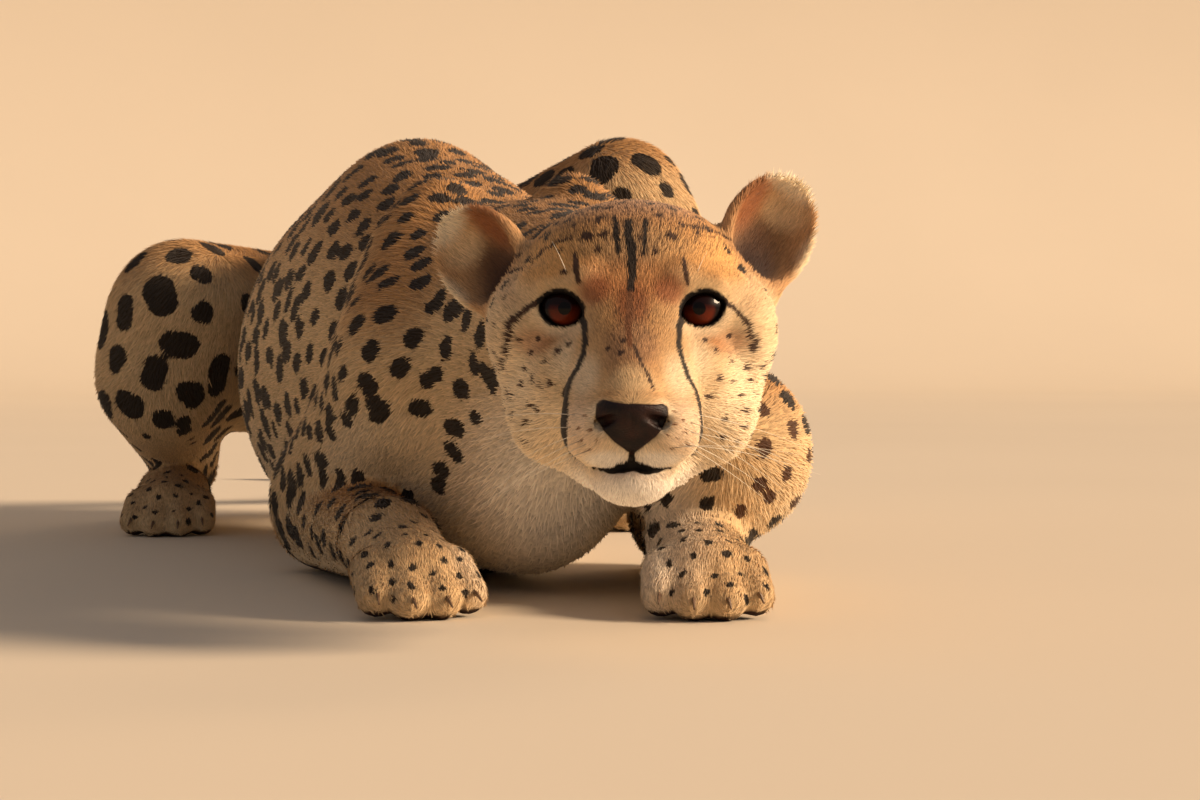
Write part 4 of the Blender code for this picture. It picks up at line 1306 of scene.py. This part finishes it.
def values_of(items, name, size=3):
    """One property of every vertex or face, with size numbers for each."""
    values = np.empty(len(items) * size)
    items.foreach_get(name, values)
    return values.reshape(-1, size)


def vertex_points(mesh):
    return from_row(values_of(mesh.vertices, "co"))


def vertex_normals(mesh):
    return values_of(mesh.vertices, "normal")


def face_areas(mesh):
    return values_of(mesh.polygons, "area", 1)[:, 0]


def write_attribute(mesh, name, kind, values):
    """Writes one value for each vertex."""
    attribute = mesh.attributes.get(name) or mesh.attributes.new(name, kind, "POINT")
    if kind == "FLOAT_COLOR":
        values = np.column_stack([values, np.ones(len(values))])
    field_name = {"FLOAT": "value", "FLOAT_VECTOR": "vector", "FLOAT_COLOR": "color"}[kind]
    attribute.data.foreach_set(field_name, np.ascontiguousarray(values, dtype=np.float32).ravel())


HEAD_CRISPNESS = 1.4
MIDDLE_SHARE = 0.55


def crispness(points):
    """How much sharper than elsewhere the edges of the marks are: more on the head."""
    return 1 + HEAD_CRISPNESS * smooth(150, 100, lengths(points - FACE_MIDDLE))


def paint(mesh, points, normals, marks):
    """Writes the coat's colours and markings at these places to the mesh."""
    ground, grizzle = ground_colour(points, normals)
    spot, ink = spot_distance(points, marks)
    write_attribute(mesh, "ground", "FLOAT_COLOR", ground)
    write_attribute(mesh, "grizzle", "FLOAT", grizzle)
    write_attribute(mesh, "spot", "FLOAT", spot * crispness(points))
    write_attribute(mesh, "ink", "FLOAT_COLOR", ink)


def new_object(name, mesh):
    obj = bpy.data.objects.new(name, mesh)
    bpy.context.scene.collection.objects.link(obj)
    return obj


def mesh_of(points, faces, name):
    mesh = bpy.data.meshes.new(name)
    mesh.from_pydata(to_row(points).tolist(), [], [list(f) for f in faces])
    return mesh


def flesh_nodes():
    """The nodes that the skin stands for: all but eyes and claws."""
    apart = ("eye_", "claw_")
    return [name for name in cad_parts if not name.startswith(apart)]


MARKS = {}  # kept from the skin for the coat


def skin_marks():
    """Every dab of the animal, worked out once."""
    if not MARKS:
        mesh = bpy.data.objects["skin"].data
        points, normals = vertex_points(mesh), vertex_normals(mesh)
        rng = np.random.default_rng(bpy.context.scene.cheetah_coat.seed)
        faces = [tuple(p.vertices) for p in mesh.polygons]
        MARKS["all"] = all_marks(points, normals, BVHTree.FromPolygons(points.tolist(), faces), rng)
    return MARKS["all"]


def build_skin():
    """One skin over all the flesh, painted with the coat's markings."""
    body = skin_mesh()
    for v in body.verts:
        v.co = to_row(v.co)
    for f in body.faces:
        f.smooth = True
    mesh = mesh_from(body, "skin")
    skin = new_object("skin", mesh)
    points, normals = vertex_points(mesh), vertex_normals(mesh)
    paint(mesh, points, normals, skin_marks())
    bare, dark = bareness(points, normals)
    write_attribute(mesh, "bare", "FLOAT", bare)
    write_attribute(mesh, "dark", "FLOAT", dark)
    mesh.materials.append(fur("short underfur on skin", False))
    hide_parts(*flesh_nodes())
    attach(skin, "root")


# ---------------------------------------------------------------- the coat
PATCH = 0.003  # width of a tuft's patch in the baked map
HEAD_PIECES = ("coat_muzzle", "coat_face", "coat_crown")
BODY_PIECES = ("coat_shoulders", "coat_chest", "coat_ribs", "coat_haunches", "coat_tail")


def interface_input(tree, name, kind, default=None):
    """Adds a named input to a tree and gives its identifier."""
    item = tree.interface.new_socket(name=name, in_out="INPUT", socket_type=kind)
    if default is not None:
        item.default_value = default
    return item.identifier


def tuft_tree():
    """Scatters thin tapered tufts over a surface, each along the lie of the coat at its root.

    A tuft is as wide as several hairs, because a single hair is too fine to show.
    """
    tree = bpy.data.node_groups.new("Tufts", "GeometryNodeTree")
    ids = {}
    for name, kind, default in (
        ("Geometry", "NodeSocketGeometry", None), ("Density", "NodeSocketFloat", 1.0),
        ("Width", "NodeSocketFloat", 0.17), ("Thickness", "NodeSocketFloat", 0.3),
        ("Lift", "NodeSocketFloat", 0.25), ("Stray", "NodeSocketFloat", 0.25), ("Seed", "NodeSocketInt", 1),
        ("Material", "NodeSocketMaterial", None),
    ):
        ids[name] = interface_input(tree, name, kind, default)
    tree.interface.new_socket(name="Geometry", in_out="OUTPUT", socket_type="NodeSocketGeometry")
    add = partial(add_node, tree)
    given = add("NodeGroupInput").outputs
    read = {name: add("GeometryNodeInputNamedAttribute", {"Name": name}, data_type=kind) for name, kind in (
        ("growth", "FLOAT"), ("lift", "FLOAT"), ("length", "FLOAT"), ("rise", "FLOAT"), ("spot", "FLOAT"),
        ("spot_change", "FLOAT"), ("lie", "FLOAT_VECTOR"), ("tuft_place", "FLOAT_VECTOR"),
        ("unwrap", "FLOAT_VECTOR"),
    )}
    # What differs from tuft to tuft: (name, least, most, draw)
    drawn = {}
    for name, low, high, draw in (("stray", -1.0, 1.0, 11.0), ("lift", 0.45, 1.6, 12.0),
                                  ("length", 0.7, 1.25, 13.0), ("shade", 0.0, 1.0, 14.0)):
        seed = add(MATH, (given["Seed"], draw), operation="ADD")
        drawn[name] = add("FunctionNodeRandomValue", {2: low, 3: high, "Seed": seed}, data_type="FLOAT")
    # Roots, and the direction and size of each tuft.
    growth = add(MATH, (read["growth"], given["Density"]), operation="MULTIPLY")
    scatter = add("GeometryNodeDistributePointsOnFaces",
                  {"Mesh": given["Geometry"], "Density": growth, "Seed": given["Seed"]},
                  distribute_method="RANDOM")
    normal = scatter.outputs["Normal"]
    stray = add(MATH, (drawn["stray"], given["Stray"]), operation="MULTIPLY")
    lie = add("ShaderNodeVectorRotate", {"Vector": read["lie"], "Axis": normal, "Angle": stray},
              rotation_type="AXIS_ANGLE")
    lift = add(MATH, (drawn["lift"], given["Lift"]), operation="MULTIPLY")
    lift = add(MATH, (lift, read["lift"]), operation="MULTIPLY")
    parts = [add(VECTOR, {0: way, "Scale": add(MATH, (lift,), operation=share)}, operation="SCALE")
             for way, share in ((lie, "COSINE"), (normal, "SINE"))]
    along = add(VECTOR, parts, operation="ADD")
    turned = add("FunctionNodeAxesToRotation", (along, normal), primary_axis="Z", secondary_axis="Y")
    length = add(MATH, (read["length"], drawn["length"]), operation="MULTIPLY")
    width = add(MATH, (length, given["Width"]), operation="MULTIPLY")
    thickness = add(MATH, (width, given["Thickness"]), operation="MULTIPLY")
    size = add("ShaderNodeCombineXYZ", (width, thickness, length))
    # One tuft of four faces, which knows how far up it each place is.
    tuft = add("GeometryNodeMeshCone",
               {"Vertices": 3, "Radius Top": 0.0, "Radius Bottom": 0.55, "Depth": 1.0}, fill_type="NGON")
    tuft = add("GeometryNodeTransform", {"Geometry": tuft, "Rotation": (0.0, 0.0, np.pi / 2)})
    position = add("GeometryNodeInputPosition")
    height = add("ShaderNodeSeparateXYZ", (position,)).outputs["Z"]
    for name, kind, value in (("rise", "FLOAT", height), ("tuft_place", "FLOAT_VECTOR", position)):
        tuft = add(STORE, {"Geometry": tuft, "Name": name, "Value": value}, data_type=kind, domain="POINT")
    tufts = add("GeometryNodeInstanceOnPoints",
                {"Points": scatter, "Instance": tuft, "Rotation": turned, "Scale": size})
    tufts = add(STORE, {"Geometry": tufts, "Name": "shade", "Value": drawn["shade"]},
                data_type="FLOAT", domain="INSTANCE")
    tufts = add("GeometryNodeRealizeInstances", {"Geometry": tufts})
    # Each tuft changes colour along its length where the edge of a spot crosses it.
    spot = add(MATH, (read["rise"], read["spot_change"], read["spot"]), operation="MULTIPLY_ADD")
    tufts = add(STORE, {"Geometry": tufts, "Name": "spot", "Value": spot}, data_type="FLOAT", domain="POINT")
    # Its patch in the baked map, at its root's place in the unwrap of the skin.
    x, _, z = add("ShaderNodeSeparateXYZ", (read["tuft_place"],)).outputs
    patch = add(VECTOR, {0: add("ShaderNodeCombineXYZ", (x, z)), "Scale": PATCH}, operation="SCALE")
    bake = add(VECTOR, (read["unwrap"], patch), operation="ADD")
    tufts = add(STORE, {"Geometry": tufts, "Name": "OFBake", "Value": bake}, data_type="FLOAT2",
                domain="CORNER")
    tufts = add("GeometryNodeSetMaterial", {"Geometry": tufts, "Material": given["Material"]})
    add("NodeGroupOutput", (tufts,))
    return tree, ids


def coat_regions(skin):
    """Face numbers of the skin for each piece of the coat, so that each piece has its share of tufts."""
    mesh = skin.data
    middles = from_row(values_of(mesh.polygons, "center"))
    areas = face_areas(mesh) / (MM * MM)
    grow = growth_of(middles, values_of(mesh.polygons, "normal"))
    q = in_head(middles)
    on_head = (middles[:, 1] < NECK_CUT) & (middles[:, 2] > PAW_TOP)
    regions = []
    for group, names, along in ((on_head, HEAD_PIECES, q[:, 1]), (~on_head, BODY_PIECES, middles[:, 1])):
        index = np.flatnonzero(group & (grow > 0))
        index = index[np.argsort(along[index], kind="stable")]
        load = np.cumsum(areas[index] * grow[index])
        ends = np.searchsorted(load, np.linspace(0, load[-1], len(names) + 1)[1:-1])
        regions += [(name, part) for name, part in zip(names, np.split(index, ends))]
    return regions


FULL_LENGTH = 10.0  # of hair at which a place has one share of tufts


def growth_of(points, normals):
    """How many tufts a place has: more where they are short, none on bare skin, few under the animal."""
    bare, dark = bareness(points, normals)
    length = hair_length(points)
    growth = (FULL_LENGTH / length) ** 2
    growth *= np.clip(1 - 1.6 * np.maximum(bare, dark), 0, 1)
    growth *= 1 - 0.75 * smooth(-0.35, -0.8, normals[:, 2]) * smooth(60, 20, points[:, 2])
    q = in_head(points)
    for x, y, z in eye_places():
        near = lengths(q - (x, y, z)) < EYE_RADIUS + 0.8
        growth[near] = 0
    growth[lip_distance(points) < 0.5] = 0
    return growth


def region_surface(skin, faces, name):
    """A copy of part of the skin with an unwrap of its own."""
    body = bmesh.new()
    body.from_mesh(skin.data)
    body.faces.ensure_lookup_table()
    keep = set(int(i) for i in faces)
    bmesh.ops.delete(body, geom=[f for f in body.faces if f.index not in keep], context="FACES")
    mesh = mesh_from(body, name)
    source = new_object(name + "_source", mesh)
    unwrap(source)
    return source


def unwrap(obj):
    """Lays the piece out flat, where each tuft finds its root's place."""
    obj.data.uv_layers.new(name="unwrap")
    bpy.context.view_layer.objects.active = obj
    for other in bpy.context.selected_objects:
        other.select_set(False)
    obj.select_set(True)
    bpy.ops.object.mode_set(mode="EDIT")
    bpy.ops.mesh.select_all(action="SELECT")
    bpy.ops.uv.smart_project(angle_limit=1.15, island_margin=0.004)
    bpy.ops.object.mode_set(mode="OBJECT")


def subdivide(mesh):
    """Halves every edge, so that the markings are written finely enough."""
    body = bmesh.new()
    body.from_mesh(mesh)
    bmesh.ops.subdivide_edges(body, edges=body.edges, cuts=1, use_grid_fill=True)
    body.to_mesh(mesh)
    body.free()


def prepare_source(source, marks):
    """Writes what the tufts read at their roots, and gives the area of the piece weighted by growth."""
    mesh = source.data
    subdivide(mesh)
    points, normals = vertex_points(mesh), vertex_normals(mesh)
    lie = flow(points)
    lie = units(lie - normals * (lie * normals).sum(-1)[:, None])
    length = hair_length(points)
    # A tuft has the ground colour that belongs under its middle, and meets the spots along its length.
    paint(mesh, points + lie * (MIDDLE_SHARE * length)[:, None], normals, marks)
    crisp = crispness(points)
    at_root, middle, at_tip = (spot_distance(points + lie * (share * length)[:, None], marks)[0] * crisp
                               for share in (0.1, MIDDLE_SHARE, 1.0))
    # On the head, where tufts are longer than the marks are wide, the change is held back.
    change = (at_tip - at_root) * (0.75 * (1 + HEAD_CRISPNESS - crisp) / HEAD_CRISPNESS + 0.25)
    write_attribute(mesh, "spot", "FLOAT", middle - change * 0.5)
    write_attribute(mesh, "spot_change", "FLOAT", change)
    write_attribute(mesh, "lie", "FLOAT_VECTOR", lie)
    write_attribute(mesh, "length", "FLOAT", length * MM)
    growth = growth_of(points, normals)
    write_attribute(mesh, "growth", "FLOAT", growth)
    write_attribute(mesh, "lift", "FLOAT", np.clip(coat_depth(points) / (0.3 * length), 0.4, 1.0))
    face_growth = np.array([growth[list(p.vertices)].mean() for p in mesh.polygons])
    return float((face_areas(mesh) * face_growth).sum())


def build_coat():
    """Eight pieces of coat, each from its own part of the skin."""
    sizes = bpy.context.scene.cheetah_coat
    skin = bpy.data.objects["skin"]
    marks = skin_marks()
    tree, ids = tuft_tree()
    material = fur("guard hair in tufts", True)
    for number, (name, faces) in enumerate(coat_regions(skin)):
        on_head = name in HEAD_PIECES
        source = region_surface(skin, faces, name)
        total = prepare_source(source, marks)
        count = sizes.head_tufts if on_head else sizes.body_tufts
        grow = source.modifiers.new("Tufts", "NODES")
        grow.node_group = tree
        grow[ids["Density"]] = count / total
        grow[ids["Width"]] = sizes.tuft_width
        grow[ids["Thickness"]] = sizes.tuft_thickness
        grow[ids["Lift"]] = sizes.lift
        grow[ids["Stray"]] = sizes.stray
        grow[ids["Seed"]] = sizes.seed * 100 + number
        grow[ids["Material"]] = material
        piece = realised(source, name)
        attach(piece, "root")


def realised(source, name):
    """The evaluated result as a plain mesh object, without its source."""
    bpy.context.view_layer.update()
    graph = bpy.context.evaluated_depsgraph_get()
    mesh = bpy.data.meshes.new_from_object(source.evaluated_get(graph), preserve_all_data_layers=True,
                                           depsgraph=graph)
    mesh.name = name
    bpy.data.objects.remove(source)
    return new_object(name, mesh)


# ---------------------------------------------------------------- nose, eyes, whiskers
NOSE_MIDDLE = (0, -66, -59)
NOSE_BOX = (34, 30, 20)  # half its size each way
NOSE_BACK = -54
NOSE_CELL = 0.75
NOSE_RISE = 0.7  # of the leather over the skin round it
NOSE_EDGE = 1.2  # width over which its edge is rounded


def build_nose():
    """The nose leather, finer than the skin, over the bare end of the muzzle."""
    axes = [np.arange(-half, half, NOSE_CELL) for half in NOSE_BOX]
    local = np.stack(np.meshgrid(*axes, indexing="ij"), -1) + NOSE_MIDDLE
    points = at_head(local)
    skin = np.concatenate([field(block) for block in points]).reshape(points.shape[:-1])
    outline = outline_distance(local[..., 0], local[..., 2], NOSE_PAD)
    rounded = melt_max(skin - NOSE_RISE, outline, NOSE_EDGE)
    values = np.maximum(rounded, local[..., 1] - NOSE_BACK)
    values = np.pad(values, 1, constant_values=5.0)
    low = np.array([a[0] - NOSE_CELL for a in axes])
    found, faces = surface(part_corners(values, NOSE_CELL), low, NOSE_CELL)
    mesh = mesh_of(at_head(found + NOSE_MIDDLE), faces, "nose_leather")
    nose = new_object("nose_leather", mesh)
    mesh.shade_smooth()
    mesh.materials.append(nose_leather())
    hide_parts("nose")
    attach(nose, "root")


def melt_max(a, b, k):
    """Overlap of two distances, rounded over the width k."""
    return -melt(-a, -b, k)


CORNEA = (12.6, 1.5)  # radius of the clear bulge across, and how far it stands out
EYE_GAP = 0.15  # how far the ball stays inside its node's own surface
IRIS_AWAY = 30  # added to the place of the back of the ball, so that no iris shows there


def build_eye(side):
    """An eyeball with its cornea, turned to look ahead."""
    s = 1 if side == "left" else -1
    centre = at_head((s * EYE_SPACING / 2, EYE_DEPTH, 0))
    body = bmesh.new()
    bmesh.ops.create_uvsphere(body, u_segments=72, v_segments=48, radius=EYE_RADIUS - EYE_GAP)
    local = np.array([v.co for v in body.verts])
    local = local @ turn(pitch=90).T
    across = np.hypot(local[:, 0], local[:, 2])
    bulge = CORNEA[1] * smooth(CORNEA[0], 0.0, across) * (local[:, 1] < 0)
    places = local - (0, 1, 0) * bulge[:, None]
    for v, p in zip(body.verts, to_row(centre + places @ HEAD.T)):
        v.co = p
    bmesh.ops.recalc_face_normals(body, faces=body.faces)
    mesh = mesh_from(body, f"eyeball_{side}")
    mesh.shade_smooth()
    behind = np.where(local[:, 1] < 0, 0, IRIS_AWAY)
    write_attribute(mesh, "iris_place", "FLOAT_VECTOR", local * (1, 0, 1) + np.outer(behind, (1, 0, 0)))
    eye = new_object(f"eyeball_{side}", mesh)
    mesh.materials.append(eyeball_material(side))
    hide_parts(f"eye_{side}")
    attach(eye, "root")


def whisker_tree():
    """Turns guide lines into tapered hairs."""
    tree = bpy.data.node_groups.new("Whiskers", "GeometryNodeTree")
    ids = {name: interface_input(tree, name, kind, default) for name, kind, default in (
        ("Geometry", "NodeSocketGeometry", None), ("Radius", "NodeSocketFloat", 0.0004),
        ("Material", "NodeSocketMaterial", None))}
    tree.interface.new_socket(name="Geometry", in_out="OUTPUT", socket_type="NodeSocketGeometry")
    add = partial(add_node, tree)
    given = add("NodeGroupInput").outputs
    along = add("GeometryNodeSplineParameter").outputs["Factor"]
    lines = add(STORE, {"Geometry": given["Geometry"], "Name": "rise", "Value": along},
                data_type="FLOAT", domain="POINT")
    taper = add(MATH, (along, -0.85, 1.0), operation="MULTIPLY_ADD")
    taper = add(MATH, (taper, given["Radius"]), operation="MULTIPLY")
    profile = add("GeometryNodeCurvePrimitiveCircle", {"Resolution": 5, "Radius": 1.0})
    hairs = add("GeometryNodeCurveToMesh",
                {"Curve": lines, "Profile Curve": profile, "Scale": taper, "Fill Caps": True})
    hairs = add("GeometryNodeRealizeInstances", {"Geometry": hairs})
    hairs = add("GeometryNodeSetMaterial", {"Geometry": hairs, "Material": given["Material"]})
    add("NodeGroupOutput", (hairs,))
    return tree, ids


WHISKER_STEPS = 12  # points along a whisker
WHISKER_BEND = np.array((0, 0.10, -0.16))  # of its tip backwards and down, as shares of its length
BROW_SHARE = 0.3  # length of the hairs over the eyes, as a share of a whisker's


def build_whiskers():
    """Long stiff hairs from the lips, and a few over each eye."""
    sizes = bpy.context.scene.cheetah_coat
    rng = np.random.default_rng(sizes.seed + 5)
    roots = [(p, 1.0) for p in WHISKER_ROOTS]
    roots += [((s * 34, -17, 18), BROW_SHARE) for s in (-1, 1)]
    guide = bpy.data.curves.new("whisker_lines", "CURVE")
    guide.dimensions = "3D"
    for (x, y, z), scale in roots:
        side = np.sign(x)
        start = np.array((x, y + 3, z), float)
        brow = scale < 1
        aim = unit((side * (0.35 if brow else 1.0), 0.1 if brow else rng.uniform(0.05, 0.6),
                    0.9 if brow else rng.uniform(-0.55, 0.12)))
        length = sizes.whisker_length / MM * scale * rng.uniform(0.7, 1.1)
        spline = guide.splines.new("POLY")
        spline.points.add(WHISKER_STEPS - 1)
        for n, t in enumerate(np.linspace(0, 1, WHISKER_STEPS)):
            p = start + aim * length * t + WHISKER_BEND * length * t * t
            spline.points[n].co = (*to_row(at_head(p)), 1.0)
    source = new_object("whisker_guides", guide)
    tree, ids = whisker_tree()
    grow = source.modifiers.new("Whiskers", "NODES")
    grow.node_group = tree
    grow[ids["Radius"]] = sizes.whisker_radius
    grow[ids["Material"]] = whisker_keratin()
    piece = realised(source, "whiskers")
    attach(piece, "root")


def finish_claws():
    """The claws keep their nodes and get their horn."""
    material = horn()
    for name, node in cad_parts.items():
        if name.startswith("claw_"):
            node.data.materials.clear()
            node.data.materials.append(material)


# ---------------------------------------------------------------- stage
CAMERA = (-0.3075, -2.100, 0.165)
CAMERA_TURN = 12.5  # degrees to its right of straight back
CAMERA_DIP = 1.45  # degrees down
LENS = 76.95
FLOOR_SIDE = 30.0  # from the middle to the sides and the front of the floor
FLOOR_BACK = 5.0
CURVE = 2.0  # radius between floor and backdrop
BACKDROP_TOP = 6.0
# (name, place, aim, angle across it, strength, colour)
LIGHTS = (
    ("key", (4.4, -2.2, 2.3), (0, -0.5, 0.15), 0.30, 5.9, "#FFE1BE"),
    ("rim", (2.6, 2.6, 1.7), (0, 0.0, 0.2), 0.6, 1.6, "#FFD6A6"),
)


def build_stage():
    """Pale floor that rises into a plain backdrop, a warm key and a weaker rim light, and the camera."""
    colours = bpy.context.scene.cheetah_colours
    angles = np.linspace(0, np.pi / 2, 14)[1:]
    profile = [(-FLOOR_SIDE, 0.0), (FLOOR_BACK, 0.0)]
    profile += [(FLOOR_BACK + CURVE * np.sin(a), CURVE - CURVE * np.cos(a)) for a in angles]
    profile += [(FLOOR_BACK + CURVE, BACKDROP_TOP)]
    points = [(x, y, z) for y, z in profile for x in (-FLOOR_SIDE, FLOOR_SIDE)]
    faces = [(2 * i, 2 * i + 1, 2 * i + 3, 2 * i + 2) for i in range(len(profile) - 1)]
    mesh = bpy.data.meshes.new("floor_and_backdrop")
    mesh.from_pydata(points, [], faces)
    mesh.shade_smooth()
    floor = new_object("floor_and_backdrop", mesh)
    material, add = new_material("matt painted floor")
    # Matt paint laid by roller: clouds about 0.8 m wide, a shade darker, no gloss.
    clouds = add(NOISE, {"Vector": add(PLACE).outputs["Object"], "Scale": 1.3, "Detail": 2.0})
    pale = (*colours.floor, 1.0)
    soft = tuple(c * 0.94 for c in colours.floor) + (1.0,)
    colour = add(MIX, {SHARE: clouds, UNDER: pale, OVER: soft}, data_type="RGBA")
    look = {"Base Color": colour, "Roughness": 0.9, "Specular IOR Level": 0.2}
    add(OUTPUT, {"Surface": add(SHADER, look)})
    mesh.materials.append(material)
    world = bpy.data.worlds.new("pale room")
    bpy.context.scene.world = world
    world.use_nodes = True
    background = world.node_tree.nodes["Background"]
    background.inputs["Color"].default_value = colour_of("#DEDADD")
    background.inputs["Strength"].default_value = 0.37
    for name, place, aim, softness, power, tint in LIGHTS:
        light = bpy.data.lights.new(name, "SUN")
        light.angle, light.energy = softness, power
        light.color = tuple(linear(tint))
        lamp = new_object(name, light)
        lamp.location = place
        lamp.rotation_euler = (Vector(aim) - Vector(place)).to_track_quat("-Z", "Y").to_euler()
    camera = bpy.data.cameras.new("camera")
    camera.lens, camera.sensor_width = LENS, 36.0
    view = new_object("camera", camera)
    view.location = CAMERA
    yaw, dip = np.radians((CAMERA_TURN, CAMERA_DIP))
    ahead = Vector((np.sin(yaw) * np.cos(dip), np.cos(yaw) * np.cos(dip), -np.sin(dip)))
    view.rotation_euler = ahead.to_track_quat("-Z", "Y").to_euler()
    bpy.context.scene.camera = view
    bpy.context.scene.view_settings.view_transform = "Standard"
    bpy.context.view_layer.update()


# ---------------------------------------------------------------- add-on
class CheetahCoat(bpy.types.PropertyGroup):
    head_tufts: IntProperty(name="Tufts in a head piece",
                            description="Tufts in each of the head's pieces of coat",
                            default=46000, min=100, max=49500)
    body_tufts: IntProperty(name="Tufts in a body piece",
                            description="Tufts in each of the body's pieces of coat",
                            default=46000, min=100, max=49500)
    tuft_width: FloatProperty(name="Tuft width", description="Width of a tuft as a share of its length",
                              default=0.14, min=0.02, max=0.6, subtype="FACTOR")
    tuft_thickness: FloatProperty(name="Tuft thickness",
                                  description="Thickness of a tuft as a share of its width",
                                  default=0.24, min=0.05, max=1.0, subtype="FACTOR")
    lift: FloatProperty(name="Lift", description="How far the tufts stand off the skin", default=0.125,
                        min=0.0, max=1.5, subtype="ANGLE", unit="ROTATION")
    stray: FloatProperty(name="Stray", description="How far tufts turn from the lie of the coat",
                         default=0.24, min=0.0, max=1.5, subtype="ANGLE", unit="ROTATION")
    seed: IntProperty(name="Seed", description="Draw of the spots and tufts", default=3, min=0)
    whisker_length: FloatProperty(name="Whisker length", description="Length of the longest whiskers",
                                  default=0.07, min=0.01, max=0.2, unit="LENGTH", subtype="DISTANCE")
    whisker_radius: FloatProperty(name="Whisker radius", description="Radius of a whisker at its root",
                                  default=0.00022, min=0.0001, max=0.001, unit="LENGTH", subtype="DISTANCE")


class CheetahColours(bpy.types.PropertyGroup):
    floor: FloatVectorProperty(name="Floor", description="Colour of the floor and backdrop", size=3,
                               subtype="COLOR", default=tuple(linear("#D6C9B6")), min=0.0, max=1.0)


class CHEETAH_OT_skin(bpy.types.Operator):
    """Builds the skin in one piece, with its markings"""

    bl_idname = "cheetah.skin"
    bl_label = "Skin"

    def execute(self, context):
        build_skin()
        return {"FINISHED"}


class CHEETAH_OT_nose(bpy.types.Operator):
    """Builds the nose leather"""

    bl_idname = "cheetah.nose"
    bl_label = "Nose leather"

    def execute(self, context):
        build_nose()
        return {"FINISHED"}


class CHEETAH_OT_eyes(bpy.types.Operator):
    """Builds both eyeballs"""

    bl_idname = "cheetah.eyes"
    bl_label = "Eyes"

    def execute(self, context):
        for side in ("left", "right"):
            build_eye(side)
        return {"FINISHED"}


class CHEETAH_OT_coat(bpy.types.Operator):
    """Grows the tufts of the coat over the skin"""

    bl_idname = "cheetah.coat"
    bl_label = "Coat"

    def execute(self, context):
        build_coat()
        return {"FINISHED"}


class CHEETAH_OT_whiskers(bpy.types.Operator):
    """Grows the whiskers and the long hairs over the eyes"""

    bl_idname = "cheetah.whiskers"
    bl_label = "Whiskers"

    def execute(self, context):
        build_whiskers()
        return {"FINISHED"}


class CHEETAH_OT_claws(bpy.types.Operator):
    """Gives the claws their horn"""

    bl_idname = "cheetah.claws"
    bl_label = "Claws"

    def execute(self, context):
        finish_claws()
        return {"FINISHED"}


class CHEETAH_OT_stage(bpy.types.Operator):
    """Sets the floor, the lights and the camera"""

    bl_idname = "cheetah.stage"
    bl_label = "Stage"

    def execute(self, context):
        build_stage()
        return {"FINISHED"}


OPERATORS = (CHEETAH_OT_skin, CHEETAH_OT_nose, CHEETAH_OT_eyes, CHEETAH_OT_coat, CHEETAH_OT_whiskers,
             CHEETAH_OT_claws, CHEETAH_OT_stage)


class CHEETAH_PT_panel(bpy.types.Panel):
    """Sizes, colours and pieces of the cheetah"""

    bl_label = "Cheetah"
    bl_idname = "CHEETAH_PT_panel"
    bl_space_type = "VIEW_3D"
    bl_region_type = "UI"
    bl_category = "Cheetah"

    def draw(self, context):
        for group in (context.scene.cheetah_coat, context.scene.cheetah_colours):
            for name in group.bl_rna.properties.keys():
                if name not in ("rna_type", "name"):
                    self.layout.prop(group, name)
        for operator in OPERATORS:
            self.layout.operator(operator.bl_idname)


CLASSES = (CheetahCoat, CheetahColours, *OPERATORS, CHEETAH_PT_panel)


def register():
    for c in CLASSES:
        bpy.utils.register_class(c)
    bpy.types.Scene.cheetah_coat = PointerProperty(type=CheetahCoat)
    bpy.types.Scene.cheetah_colours = PointerProperty(type=CheetahColours)


def unregister():
    del bpy.types.Scene.cheetah_colours
    del bpy.types.Scene.cheetah_coat
    for c in reversed(CLASSES):
        bpy.utils.unregister_class(c)


def main():
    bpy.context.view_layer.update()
    register()
    for operator in OPERATORS:
        getattr(bpy.ops.cheetah, operator.bl_idname.split(".")[1])()


if __name__ == "__main__":
    main()
